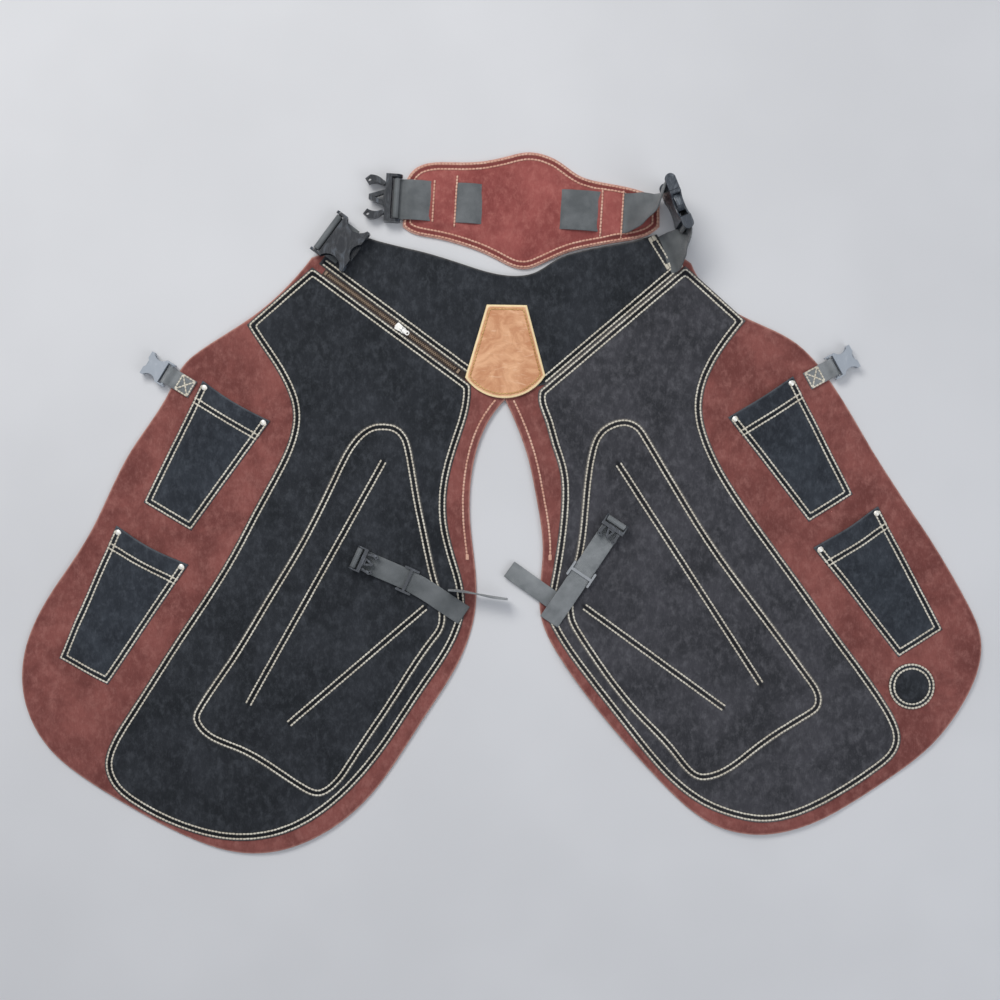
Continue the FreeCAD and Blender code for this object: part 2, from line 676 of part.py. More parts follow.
def belt_block(x0, x1, half, z0, z1):
    return place(box(x0, x1, -half, half, z0, z1), BELT_START, 0, BELT_ANGLE)


def back_pad_lining():
    return slab(pad_wire(0), PAD_LINING_T)


def foam_block(margin):
    """Foam inside the sewn edge, drawn in from the pad's outline by a margin."""
    scale_x = 1 - 2 * margin / PAD_SIZE[0]
    scale_y = 1 - 2 * margin / PAD_SIZE[1]

    def inward(points):
        return [(PAD_MIDDLE[0] + (x - PAD_MIDDLE[0]) * scale_x,
                 PAD_MIDDLE[1] + (y - PAD_MIDDLE[1]) * scale_y) for x, y in points]

    top, foot = inward(PAD_TOP), inward(PAD_FOOT)
    runs = [top, [top[-1], foot[0]], foot, [foot[-1], top[0]]]
    return slab(runs_wire(runs, PAD_LINING_T), PAD_FOAM_T)


def back_pad_foam():
    return foam_block(FOAM_MARGIN)


def back_pad_face():
    """Face leather with a channel for the belt and the windows where the belt shows."""
    z0 = PAD_LINING_T + PAD_FOAM_T
    face = slab(pad_wire(PAD_LINING_T), PAD_FOAM_T + PAD_FACE_T)
    face = face.cut(foam_block(FOAM_MARGIN - 0.2))
    half = BELT_W / 2 + 0.3
    face = face.cut(belt_block(-20, 400, half, z0, z0 + WEB_T + 0.1))
    for x0, x1 in WINDOWS:
        face = face.cut(belt_block(x0, x1, half, z0, z0 + 10))
    return face.removeSplitter()


def clipped_point(distance):
    """Plan point on the clipped buckle's axis, from its middle."""
    return along(CLIPPED_AT, CLIPPED_ANGLE, distance)


CLIPPED_LENGTH = WAIST.base_end + 0.5 + WAIST.socket


def on_clipped_male(shape):
    return place(shape, clipped_point(-CLIPPED_LENGTH / 2), CLIPPED_Z, CLIPPED_ANGLE, 90)


def on_clipped_socket(shape):
    return place(shape, clipped_point(CLIPPED_LENGTH / 2), CLIPPED_Z, CLIPPED_ANGLE + 180, 90)


def belt_webbing():
    """One strap from the left clip, through the pad, twisting on edge to the right clip."""
    bar = clipped_point(-CLIPPED_LENGTH / 2)
    tangent = along(bar, 75, 0, loop_radius(BELT_W))
    stations = []
    for distance in (0, 275):
        x, y = along(BELT_START, BELT_ANGLE, distance)
        stations.append((x, y, BELT_Z, BELT_ANGLE, 0))
    stations += [(158, 346, 14.5, 3, 20), (170, 348, 24, 20, 45), (181, 352.5, 31.5, 45, 70),
                 (*along(tangent, 75, -15), CLIPPED_Z, 75, 90), (*tangent, CLIPPED_Z, 75, 90)]
    strap = ribbon(stations, BELT_W)
    left_bar = place(web_loop(BELT_W, BELT_W), BELT_START, LEFT_CLIP_Z, BELT_ANGLE)
    left_bore = place(cylinder_y(loop_radius(BELT_W) - WEB_T / 2, BELT_W), BELT_START, LEFT_CLIP_Z,
                      BELT_ANGLE)
    right_bar = on_clipped_male(web_loop(BELT_W, BELT_W))
    right_bore = on_clipped_male(cylinder_y(loop_radius(BELT_W) - WEB_T / 2, BELT_W))
    return strap.cut([left_bore, right_bore]).fuse([left_bar, right_bar]).removeSplitter()


LEFT_CLIP_Z = BELT_Z + loop_radius(BELT_W)


def on_left_clip(shape):
    return place(shape, BELT_START, LEFT_CLIP_Z, BELT_ANGLE + 180)


def right_yoke_tab():
    """Tab from the yoke's right end, turning on edge into the clipped socket."""
    bar = clipped_point(CLIPPED_LENGTH / 2)
    tangent = along(bar, 100, 0, -loop_radius(BELT_W))
    flat = PATCH_TOP + WEB_T / 2
    stations = [(176, 287, flat, 22, 0), (196, 295, flat, 22, 0), (208, 300, 19.5, 36, 38),
                (216, 306, 30, 62, 70), (*along(tangent, 100, -9), CLIPPED_Z, 100, 90),
                (*tangent, CLIPPED_Z, 100, 90)]
    strap = ribbon(stations, BELT_W)
    ring = on_clipped_socket(web_loop(BELT_W, BELT_W))
    bore = on_clipped_socket(cylinder_y(loop_radius(BELT_W) - WEB_T / 2, BELT_W))
    return strap.cut(bore).fuse(ring).removeSplitter()


# ---------------------------------------------------------------- all the nodes
def build_nodes():
    left_pockets = [name for name in POCKETS if name.startswith("left")]
    right_pockets = [name for name in POCKETS if name.startswith("right")]
    nodes = {
        "left_leg_panel": left_leg_panel().cut(rivet_holes(left_pockets)),
        "right_leg_panel": right_leg_panel().cut(rivet_holes(right_pockets)),
        "left_leg_patch": left_leg_patch(),
        "right_leg_patch": right_leg_patch(),
        "left_knee_patch": slab(loop_wire(LEFT_KNEE, PATCH_TOP), KNEE_T),
        "right_knee_patch": slab(loop_wire(RIGHT_KNEE, PATCH_TOP), KNEE_T),
        "waist_yoke": waist_yoke(),
        "crotch_patch": crotch_patch(),
        "pocket_rivets": rivets(),
        "nail_magnet": magnet(),
        "magnet_cover": magnet_cover(),
        "zip_tapes": zip_tapes(),
        "zip_chain": zip_chain(),
        "zip_stops": zip_stops(),
        "zip_slider": zip_slider(),
        "zip_pull": zip_pull(),
        "zip_pocket_lining": zip_pocket_lining(),
        "left_yoke_tab": left_yoke_tab(),
        "left_waist_socket": left_waist_socket(),
        "right_yoke_tab": right_yoke_tab(),
        "right_waist_socket": on_clipped_socket(socket(WAIST)),
        "back_pad_lining": back_pad_lining(),
        "back_pad_foam": back_pad_foam(),
        "back_pad_face": back_pad_face(),
        "belt_webbing": belt_webbing(),
    }
    for name in POCKETS:
        nodes[name] = pocket(name)
    for side in ("left", "right"):
        nodes[side + "_outer_tab"] = outer_tab(side)
        nodes[side + "_outer_socket"] = outer_socket(side)
        nodes[side + "_leg_strap"] = leg_strap(side)
        nodes[side + "_strap_anchor"] = strap_anchor(side)
        nodes[side + "_strap_tail"] = strap_tail(side)
        nodes[side + "_slide_adjuster"] = slide_adjuster(side)
        nodes[side + "_leg_clip"] = on_leg_clip(clip_base(LEG), side)
        nodes[side + "_leg_clip_arm_a"] = on_leg_clip(clip_arm(LEG), side)
        nodes[side + "_leg_clip_arm_b"] = on_leg_clip(both_sides(clip_arm(LEG)), side)
    for name, holder in (("left_waist_clip", on_left_clip), ("right_waist_clip", on_clipped_male)):
        nodes[name] = holder(clip_base(WAIST))
        nodes[name + "_arm_a"] = holder(clip_arm(WAIST))
        nodes[name + "_arm_b"] = holder(both_sides(clip_arm(WAIST)))
    return nodes


def middle_shift(nodes):
    """The move that brings the middle of the whole footprint to the origin."""
    whole = Part.makeCompound(list(nodes.values())).optimalBoundingBox()
    return Vec(-(whole.XMin + whole.XMax) / 2, -(whole.YMin + whole.YMax) / 2, -whole.ZMin)


def main():
    nodes = build_nodes()
    shift = middle_shift(nodes)
    for name, shape in nodes.items():
        moved = shape.copy()
        moved.translate(shift)
        moved.exportStep("parts/" + name + ".step")
    print("nodes:", len(nodes), "shift:", [round(v, 3) for v in shift])


main()
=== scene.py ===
import math

import bmesh
import bpy
import numpy as np
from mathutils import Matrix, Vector, kdtree, noise
from mathutils.geometry import convex_hull_2d, delaunay_2d_cdt


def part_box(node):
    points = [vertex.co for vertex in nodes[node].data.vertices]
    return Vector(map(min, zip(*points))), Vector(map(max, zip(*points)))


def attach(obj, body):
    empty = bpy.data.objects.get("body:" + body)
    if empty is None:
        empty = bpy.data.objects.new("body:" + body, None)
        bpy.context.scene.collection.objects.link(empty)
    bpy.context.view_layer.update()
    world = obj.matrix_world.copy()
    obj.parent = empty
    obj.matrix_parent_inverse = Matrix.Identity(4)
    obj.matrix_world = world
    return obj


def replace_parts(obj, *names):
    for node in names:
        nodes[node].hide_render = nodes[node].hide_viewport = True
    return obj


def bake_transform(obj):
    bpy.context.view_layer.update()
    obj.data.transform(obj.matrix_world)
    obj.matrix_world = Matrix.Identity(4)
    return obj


# A split-leg leather apron laid out flat: suede, thread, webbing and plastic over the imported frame.
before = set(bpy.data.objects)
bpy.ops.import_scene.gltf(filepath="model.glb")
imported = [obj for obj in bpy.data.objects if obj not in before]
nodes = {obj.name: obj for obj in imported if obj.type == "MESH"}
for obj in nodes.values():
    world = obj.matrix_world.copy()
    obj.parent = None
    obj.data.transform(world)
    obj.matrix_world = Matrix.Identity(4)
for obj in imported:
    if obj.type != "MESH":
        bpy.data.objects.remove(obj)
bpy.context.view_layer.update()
rng = np.random.default_rng(11)
MM = 0.001
UP = np.array([0.0, 0.0, 1.0])

# plan positions are in millimetres from the datum that puts the nail magnet at MAGNET_AT
MAGNET_AT = (492.0, -220.8)
magnet_low, magnet_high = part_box("nail_magnet")
DATUM = np.array((magnet_low + magnet_high) / 2)[:2] - np.array(MAGNET_AT) * MM


def plan(x, y):
    return DATUM + np.array([x, y]) * MM


def spot(x, y, z):
    """A point in space from millimetres."""
    return np.array([*plan(x, y), z * MM])


def heading(angle):
    return np.array([math.cos(math.radians(angle)), math.sin(math.radians(angle)), 0.0])


def ease(value, low, high):
    t = np.clip((value - low) / (high - low), 0.0, 1.0)
    return t * t * (3 - 2 * t)


# ---- plan outlines and rows
LEVEL = 2e-6  # difference in metres within which two heights are the same


def corners_of(loop, least):
    """Numbers of the points at which an outline turns by more than some degrees."""
    before, after = loop - np.roll(loop, 1, axis=0), np.roll(loop, -1, axis=0) - loop
    cross = before[:, 0] * after[:, 1] - before[:, 1] * after[:, 0]
    turns = np.degrees(np.arctan2(cross, np.sum(before * after, axis=1)))
    return [int(i) for i in np.flatnonzero(np.abs(turns) > least)]


def lengths(points):
    """Distance along a path at each of its points."""
    return np.concatenate([[0.0], np.cumsum(np.linalg.norm(np.diff(points, axis=0), axis=1))])


def spaced(points, step):
    """Even points along an open path, with its ends."""
    points = np.asarray(points, float)
    run = lengths(points)
    marks = np.linspace(0, run[-1], max(1, round(run[-1] / step)) + 1)
    return np.stack([np.interp(marks, run, points[:, k]) for k in range(points.shape[1])], axis=1)


def closing(loop):
    """A closed outline as a path that ends where it starts."""
    return np.vstack([loop, loop[:1]])


def resample(loop, step):
    """Even points round a closed outline that keeps its corners."""
    corners = corners_of(loop, 27) or [0]
    path = closing(np.roll(loop, -corners[0], axis=0))
    marks = [c - corners[0] for c in corners] + [len(loop)]
    return np.vstack([spaced(path[a:b + 1], step)[:-1] for a, b in zip(marks, marks[1:])])


def area_of(loop):
    x, y = loop[:, 0], loop[:, 1]
    return 0.5 * float(np.sum(x * np.roll(y, -1) - np.roll(x, -1) * y))


def outline(node):
    """Outer loop of a flat node's upper face, anticlockwise, in metres."""
    bm = bmesh.new()
    bm.from_mesh(nodes[node].data)
    bmesh.ops.remove_doubles(bm, verts=bm.verts, dist=1e-6)
    top = max(v.co.z for v in bm.verts)
    upper = {f for f in bm.faces if all(abs(v.co.z - top) < LEVEL for v in f.verts)}
    linked = {}
    for edge in bm.edges:
        if sum(f in upper for f in edge.link_faces) == 1:
            a, b = edge.verts
            linked.setdefault(a, []).append(b)
            linked.setdefault(b, []).append(a)
    loops = []
    while linked:
        path, here = [], next(iter(linked))
        while here in linked:
            path.append([here.co.x, here.co.y])
            here = next((v for v in linked.pop(here) if v in linked), None)
        loops.append(np.array(path))
    bm.free()
    best = max(loops, key=lambda p: abs(area_of(p)))
    return best if area_of(best) > 0 else best[::-1]


def tree_of(points):
    """Nearest-point search in plan."""
    tree = kdtree.KDTree(len(points))
    for i, p in enumerate(points):
        tree.insert((p[0], p[1], 0.0), i)
    tree.balance()
    return tree


def gap(tree, points):
    """Plan distance from each point to the nearest one in a tree."""
    return np.array([tree.find((p[0], p[1], 0.0))[2] for p in points])


def inset(loop, depth, step=2.5 * MM):
    """The line at an even depth inside an outline, in order."""
    dense = resample(loop, 1.5 * MM)
    tangent = np.roll(dense, -1, axis=0) - np.roll(dense, 1, axis=0)
    tangent /= np.linalg.norm(tangent, axis=1)[:, None]
    moved = dense + np.stack([-tangent[:, 1], tangent[:, 0]], axis=1) * depth
    kept = moved[gap(tree_of(dense), moved) > depth * 0.97]
    return spaced(closing(kept), step)[:-1]


def between(line, test):
    """The longest part of a closed line whose points pass a test; some have to fail it."""
    best, run = [], []
    for point in np.vstack([line, line]):
        run = run + [point] if test(point) else []
        best = run if len(run) > len(best) else best
    return np.array(best)


# ---- how the leather lies
# it is flat as far as FLAT from these nodes, and waves freely from FREE on
HARD = ("clip", "socket", "adjuster", "rivets", "magnet", "chain", "slider", "stops", "anchor",
        "outer_tab", "leg_strap")
FLAT, FREE = 4 * MM, 50 * MM
hard_nodes = [o for name, o in nodes.items() if any(part in name for part in HARD)]
hard_tree = tree_of([v.co for o in hard_nodes for v in o.data.vertices])
# waves: height, how many broad and fine ones go into a metre, and how softly they leave the floor
WAVE, BROAD, FINE, SOFT = 2.6 * MM, 6.5, 17, 4e-7
# soft ridges: start and end in plan, height and half width in millimetres
RIDGES = [
    (plan(398, -62), plan(452, -186), 4.0, 9.0),
    (plan(66, 264), plan(78, 206), 3.0, 8.0),
    (plan(104, 286), plan(112, 214), 2.4, 10.0),
    (plan(-120, 262), plan(-62, 214), 2.2, 12.0),
    (plan(-520, -110), plan(-470, -262), 3.0, 14.0),
]


def segment_gap(point, start, end):
    """Distance from a point to a straight line between two others."""
    run = end - start
    t = min(1.0, max(0.0, float((point - start) @ run) / float(run @ run)))
    return float(np.linalg.norm(point - start - t * run))


def rise(points):
    """Height of the leather's underside: gentle waves, and none near the hardware."""
    heights = []
    for x, y in points:
        fade = ease(hard_tree.find((x, y, 0.0))[2], FLAT, FREE)
        wave = noise.noise((x * BROAD, y * BROAD, 3.1)) + 0.35 * noise.noise((x * FINE, y * FINE, 8.4))
        height = WAVE * (0.7 + 1.5 * wave)
        height = (height + math.sqrt(height * height + SOFT)) / 2
        for start, end, top, half in RIDGES:
            away = segment_gap(np.array([x, y]), start, end)
            height += top * MM * math.exp(-(away / (half * MM)) ** 2)
        heights.append(fade * height)
    return np.array(heights)


# ---- materials
def tone(red, green, blue):
    """Linear colour from 8-bit screen values."""
    def linear(c):
        c /= 255.0
        return c / 12.92 if c <= 0.04045 else ((c + 0.055) / 1.055) ** 2.4
    return (linear(red), linear(green), linear(blue), 1.0)


class Surface:
    """A node material, with short calls for the nodes it uses."""

    def __init__(self, name, **sockets):
        self.material = bpy.data.materials.new(name)
        self.material.use_nodes = True
        self.tree = self.material.node_tree
        self.shader = self.tree.nodes["Principled BSDF"]
        for socket, value in sockets.items():
            self.shader.inputs[socket.replace("_", " ")].default_value = value
        self.place = self.add("ShaderNodeTexCoord").outputs["Object"]
        self.bumps = None

    def add(self, kind, inputs=(), **settings):
        node = self.tree.nodes.new(kind)
        for key, value in settings.items():
            setattr(node, key, value)
        for key, value in dict(inputs).items():
            self.feed(node.inputs[key], value)
        return node

    def feed(self, socket, value):
        if isinstance(value, bpy.types.NodeSocket):
            self.tree.links.new(value, socket)
        else:
            socket.default_value = value

    def noise(self, scale, detail=3.0, rough=0.55, stretch=None, twist=0.0):
        vector = self.place
        if stretch:
            mapping = self.add("ShaderNodeMapping", {"Vector": vector, "Scale": stretch})
            vector = mapping.outputs["Vector"]
        inputs = {"Vector": vector, "Scale": scale, "Detail": detail, "Roughness": rough}
        return self.add("ShaderNodeTexNoise", {**inputs, "Distortion": twist}).outputs["Fac"]

    def value(self, name):
        """A field that the mesh carries."""
        return self.add("ShaderNodeAttribute", attribute_name=name).outputs["Fac"]

    def math(self, operation, one, two=0.0):
        return self.add("ShaderNodeMath", {0: one, 1: two}, operation=operation).outputs[0]

    def span(self, value, low, high, to_low=0.0, to_high=1.0):
        """A value moved smoothly from one range to another."""
        inputs = {"Value": value, "From Min": low, "From Max": high, "To Min": to_low, "To Max": to_high}
        return self.add("ShaderNodeMapRange", inputs, interpolation_type="SMOOTHSTEP").outputs["Result"]

    def mix(self, factor, one, two):
        node = self.add("ShaderNodeMix", data_type="RGBA")
        self.feed(node.inputs[0], factor)
        self.feed(node.inputs[6], one)
        self.feed(node.inputs[7], two)
        return node.outputs[2]

    def bump(self, height, strength, depth):
        inputs = {"Height": height, "Strength": strength, "Distance": depth}
        if self.bumps:
            inputs["Normal"] = self.bumps
        self.bumps = self.add("ShaderNodeBump", inputs).outputs["Normal"]
        self.feed(self.shader.inputs["Normal"], self.bumps)

    def colour(self, value):
        self.feed(self.shader.inputs["Base Color"], value)

    def rough(self, value):
        self.feed(self.shader.inputs["Roughness"], value)


def suede(name, sheen, *colours):
    """Brushed split leather: cloudy nap, short fibres, rubbed cut edges, and grooves beside its stitching
    darkened as pressed leather and painted shade.
    """
    dark, mid, pale, edge, seam = (tone(*colour) for colour in colours)
    s = Surface(name, Sheen_Weight=sheen, Sheen_Roughness=0.45, Specular_IOR_Level=0.25)
    s.shader.inputs["Sheen Tint"].default_value = pale
    clouds = s.noise(15.0, 5.0, 0.66, twist=0.25)
    nap = s.noise(120.0, 5.0, 0.72, stretch=(1.0, 0.7, 1.0), twist=0.2)
    fibres = s.noise(620.0, 3.0, 0.75, stretch=(1.0, 0.35, 1.0))
    colour = s.mix(s.span(clouds, 0.34, 0.68), dark, mid)
    colour = s.mix(s.span(nap, 0.42, 0.80, 0.0, 0.60), colour, pale)
    colour = s.mix(s.span(fibres, 0.52, 0.75, 0.0, 0.30), colour, pale)
    colour = s.mix(s.span(fibres, 0.48, 0.28, 0.0, 0.35), colour, dark)
    rubbed = s.math("MULTIPLY", s.span(s.value("edge"), 2.6, 0.2), s.span(nap, 0.3, 0.6, 0.45, 1.0))
    colour = s.mix(rubbed, colour, edge)
    # grooves between stitch rows are darkened towards the last colour: pressed leather and painted shade
    colour = s.mix(s.math("MULTIPLY", s.value("fold"), 0.85), colour, seam)
    s.colour(colour)
    s.rough(s.span(nap, 0.3, 0.8, 0.98, 0.80))
    s.bump(clouds, 0.35, 0.0012)
    s.bump(nap, 0.45, 0.0007)
    s.bump(fibres, 0.55, 0.00025)
    return s.material


def smooth_leather(name):
    """Waxed tan leather with a pale raw edge, mottling and light scratches."""
    s = Surface(name, Specular_IOR_Level=0.4, Coat_Weight=0.12, Coat_Roughness=0.35)
    clouds = s.noise(38.0, 5.0, 0.65, twist=1.4)
    marks = s.noise(90.0, 4.0, 0.6, stretch=(0.35, 1.6, 1.0), twist=2.0)
    grain = s.noise(900.0, 3.0, 0.6)
    colour = s.mix(s.span(clouds, 0.35, 0.7), tone(202, 140, 98), tone(236, 182, 138))
    colour = s.mix(s.span(marks, 0.55, 0.75, 0.0, 0.55), colour, tone(248, 208, 172))
    colour = s.mix(s.span(grain, 0.5, 0.8, 0.0, 0.25), colour, tone(180, 118, 78))
    colour = s.mix(s.span(s.value("edge"), 3.6, 1.2), colour, tone(255, 230, 180))
    s.colour(colour)
    s.rough(s.span(clouds, 0.3, 0.7, 0.62, 0.42))
    s.bump(marks, 0.3, 0.0008)
    s.bump(grain, 0.35, 0.0002)
    return s.material


def thread(name, *colours):
    """Waxed thread with a fine twist."""
    pale, shade = (tone(*colour) for colour in colours)
    s = Surface(name, Sheen_Weight=0.2, Specular_IOR_Level=0.35)
    twist = s.noise(1500.0, 2.0, 0.5)
    drift = s.noise(45.0, 3.0, 0.6)
    colour = s.mix(s.span(drift, 0.3, 0.75), shade, pale)
    s.colour(s.mix(s.span(twist, 0.5, 0.8, 0.0, 0.35), colour, shade))
    s.rough(s.span(twist, 0.3, 0.7, 0.75, 0.55))
    s.bump(twist, 0.5, 0.0003)
    return s.material


def woven(name, rib, sheen, *colours):
    """Flat-woven tape: ribs across its run, crossed by warp yarns; rib is their spacing in mm."""
    dark, pale = (tone(*colour) for colour in colours)
    s = Surface(name, Sheen_Weight=sheen, Sheen_Roughness=0.35, Specular_IOR_Level=0.4)
    weft, warp = (s.math("SINE", s.math("MULTIPLY", s.value(field), 2 * math.pi / step))
                  for field, step in (("run", rib), ("across", rib * 0.8)))
    cloth = s.math("MULTIPLY", weft, warp)
    height = s.span(s.math("ADD", cloth, s.math("MULTIPLY", warp, 0.5)), -1.5, 1.5)
    drift = s.noise(30.0, 4.0, 0.6)
    fuzz = s.noise(1100.0, 3.0, 0.7)
    colour = s.mix(s.span(drift, 0.3, 0.72), dark, pale)
    # raised yarns are made lighter than the hollows between them: painted shade in the weave
    colour = s.mix(s.math("MULTIPLY", height, 0.5), colour, pale)
    colour = s.mix(s.span(fuzz, 0.5, 0.8, 0.0, 0.3), colour, dark)
    s.colour(colour)
    s.rough(s.span(drift, 0.3, 0.7, 0.62, 0.50))
    s.bump(height, 0.8, 0.0005)
    s.bump(fuzz, 0.3, 0.0002)
    return s.material


def plastic(name, rough, *colours):
    """Moulded plastic: fine spark texture, and lighter in places, partly rubbed wear and partly painted
    highlight.
    """
    base, wear_and_highlight = (tone(*colour) for colour in colours)
    s = Surface(name, Specular_IOR_Level=0.55)
    spark = s.noise(1400.0, 2.0, 0.6)
    scuff_and_glint = s.noise(120.0, 5.0, 0.75, stretch=(1.0, 0.3, 1.0), twist=1.0)
    # patches lighter towards the second colour: rubbed wear and painted highlight
    colour = s.mix(s.span(scuff_and_glint, 0.5, 0.8, 0.0, 0.8), base, wear_and_highlight)
    s.colour(s.mix(s.span(spark, 0.55, 0.8, 0.0, 0.3), colour, wear_and_highlight))
    s.rough(s.span(scuff_and_glint, 0.35, 0.75, rough, rough + 0.2))
    s.bump(spark, 0.25, 0.00015)
    return s.material


def metal(name, rough, metallic, *colours):
    """Metal with fine scratches, duller in places."""
    base, dull = (tone(*colour) for colour in colours)
    s = Surface(name, Metallic=metallic)
    scratch = s.noise(300.0, 4.0, 0.7, stretch=(1.0, 0.15, 1.0))
    s.colour(s.mix(s.span(scratch, 0.45, 0.8), base, dull))
    s.rough(s.span(scratch, 0.3, 0.7, rough, rough + 0.2))
    s.bump(scratch, 0.2, 0.0001)
    return s.material


RED = suede("red_suede_look", 0.30,
            (110, 62, 58), (142, 85, 79), (168, 113, 105), (190, 142, 130), (80, 42, 40))
PAD_RED = suede("pad_suede_look", 0.30,
                (132, 67, 64), (163, 91, 86), (188, 119, 110), (222, 178, 162), (114, 57, 53))
BLACK = suede("left_black_suede_look", 0.22,
              (33, 36, 40), (48, 51, 56), (76, 80, 86), (88, 87, 86), (8, 8, 10))
# a lighter copy of the black suede for the right leg's patches: painted light
LIT_RIGHT_BLACK = suede("right_black_suede_painted_light_look", 0.26,
                    (48, 49, 53), (69, 69, 74), (104, 104, 109), (108, 105, 103), (10, 10, 12))
POCKET_BLACK = suede("pocket_suede_look", 0.24,
                     (40, 44, 50), (55, 60, 67), (82, 88, 96), (92, 96, 102), (10, 10, 12))
TAN = smooth_leather("tan_leather_look")
CREAM = thread("cream_thread_look", (232, 227, 211), (204, 196, 178))
PINK = thread("pink_thread_look", (232, 190, 168), (210, 156, 134))
TAN_THREAD = thread("tan_thread_look", (226, 186, 126), (190, 140, 84))
WEB = woven("webbing_look", 1.9, 0.3, (77, 82, 84), (114, 118, 120))
PALE_WEB = woven("pale_webbing_look", 1.9, 0.3, (98, 103, 105), (146, 150, 152))
TAPE = woven("zip_tape_look", 0.9, 0.2, (44, 36, 34), (80, 66, 60))
LINING = woven("pocket_cloth_look", 1.2, 0.2, (30, 30, 34), (52, 52, 58))
# the waist buckle's lighter colour is raised for glossy edges: painted highlight
BUCKLE = plastic("waist_buckle_look", 0.22, (29, 33, 39), (104, 117, 132))
# a lighter copy of the waist buckle for the clipped one: painted reflection
REFLECTING_CLIPPED_BUCKLE = plastic("clipped_buckle_painted_reflection_look", 0.24, (56, 62, 70), (176, 186, 195))
GREY_BUCKLE = plastic("leg_clip_look", 0.28, (58, 62, 68), (150, 156, 164))
# the outer sockets are made pale grey-blue: painted reflection of the sky
SKY_REFLECTING_SOCKETS = plastic("outer_socket_painted_reflection_look", 0.36, (160, 168, 177), (193, 199, 206))
SILVER_BUCKLE = plastic("right_adjuster_look", 0.34, (150, 154, 158), (196, 198, 200))
# near-white nickel for the rivets: partly nickel, partly painted glare
GLARE_NICKEL = metal("rivet_painted_glare_look", 0.28, 0.3, (250, 248, 240), (232, 226, 214))
ZIP_METAL = metal("zip_metal_look", 0.25, 0.5, (244, 243, 238), (214, 212, 206))
TEETH = metal("zip_teeth_look", 0.40, 0.4, (150, 130, 110), (100, 85, 72))
MAGNET_LOOK = metal("magnet_look", 0.35, 1.0, (150, 150, 150), (110, 110, 110))


# ---- mesh building
def piece(name, vertices, faces, material, body=None, slot=None, smooth=True, **fields):
    """A new object with per-vertex fields, riding on a body."""
    mesh = bpy.data.meshes.new(name)
    mesh.from_pydata([tuple(v) for v in vertices], [], [tuple(int(i) for i in f) for f in faces])
    for field, values in fields.items():
        data = mesh.attributes.new(field, "FLOAT", "POINT").data
        data.foreach_set("value", np.asarray(values, np.float32))
    bm = bmesh.new()
    bm.from_mesh(mesh)
    bmesh.ops.recalc_face_normals(bm, faces=bm.faces)
    bm.to_mesh(mesh)
    bm.free()
    mesh.shade_smooth() if smooth else mesh.shade_flat()
    mesh.materials.append(material)
    made = bpy.data.objects.new(name, mesh)
    bpy.context.scene.collection.objects.link(made)
    if body:
        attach(made, body)
    return made


def tube_faces(rings, size, first=0):
    """Faces of a tube of rings with size points each, with a cap on both ends."""
    faces = [[first + k for k in reversed(range(size))]]
    for base in range(first, first + (rings - 1) * size, size):
        for k in range(size):
            a, b = base + k, base + (k + 1) % size
            faces.append([a, b, b + size, a + size])
    return faces + [[first + (rings - 1) * size + k for k in range(size)]]


# how deep and wide leather is pulled down along a seam, and how wide the darkening along its pressed
# creases is: pressed leather and painted shade
SEAM_DIP, SEAM_HALF, FOLD_SHADE_HALF = 0.45 * MM, 1.7 * MM, 1.5 * MM


def near_lines(lines, points, half):
    """1 on some lines, and falling to 0 beside them."""
    if not len(lines):
        return np.zeros(len(points))
    away = gap(tree_of(np.vstack([spaced(line, 1 * MM) for line in lines])), points)
    return np.exp(-(away / half) ** 2)


def dips(lines, points, depth=SEAM_DIP):
    """How far a surface is pulled down along its stitching."""
    return depth * near_lines(lines, points, SEAM_HALF)


def skin_faces(upper, n):
    """Faces of a closed skin over n upper points: its upper faces, the same below, and the rim."""
    edges = dict.fromkeys((a, b) for f in upper for a, b in zip(f, f[1:] + f[:1]))
    lower = [[i + n for i in reversed(f)] for f in upper]
    return upper + lower + [[b, a, a + n, b + n] for a, b in edges if (b, a) not in edges]


def skin_fields(edge, fold):
    """Fields of a closed skin: distance from its edge in millimetres, and on its upper face the darkening
    along pressed creases, as pressed leather and painted shade.
    """
    return {"edge": np.tile(edge * 1000, 2), "fold": np.concatenate([fold, fold * 0])}


def fill_points(loop, lines, cell):
    """Points for a leather piece: its outline first, then insets, seam lines and a loose grid."""
    ring = resample(loop, min(cell, 4 * MM))
    fixed = [ring, inset(loop, 0.5 * MM, 4 * MM), inset(loop, 1.5 * MM, 4 * MM)]
    fixed = np.vstack(fixed + [spaced(line, 3 * MM) for line in lines])
    tree = tree_of(fixed)
    low, high = loop.min(0), loop.max(0)
    grid = [[x, y] for row, y in enumerate(np.arange(low[1], high[1], cell * 0.87))
            for x in np.arange(low[0] + (row % 2) * cell / 2, high[0], cell)]
    grid = np.array(grid) + rng.uniform(-0.16, 0.16, (len(grid), 2)) * cell
    grid = grid[gap(tree, grid) > cell * 0.55]
    return len(ring), np.vstack([fixed, grid])


def flat_piece(name, loop, top, bottom, material, lines, grooves, cell, **where):
    """A closed sheet over an outline; top and bottom give heights from points and edge distances."""
    count, points = fill_points(loop, list(lines) + list(grooves), cell)
    flat = [Vector(p) for p in points * 1000]
    made = delaunay_2d_cdt(flat, [], [list(range(count))], 1, 1e-4)
    points = np.array([[v.x, v.y] for v in made[0]]) * MM
    tris = [f for f in made[2] if len(f) == 3]
    edge = gap(tree_of(resample(loop, 1 * MM)), points)
    high, low = top(points, edge), bottom(points, edge)
    vertices = np.vstack([np.column_stack([points, high]), np.column_stack([points, low])])
    fields = skin_fields(edge, near_lines(grooves, points, FOLD_SHADE_HALF))
    return piece(name, vertices, skin_faces(tris, len(points)), material, **where, **fields)


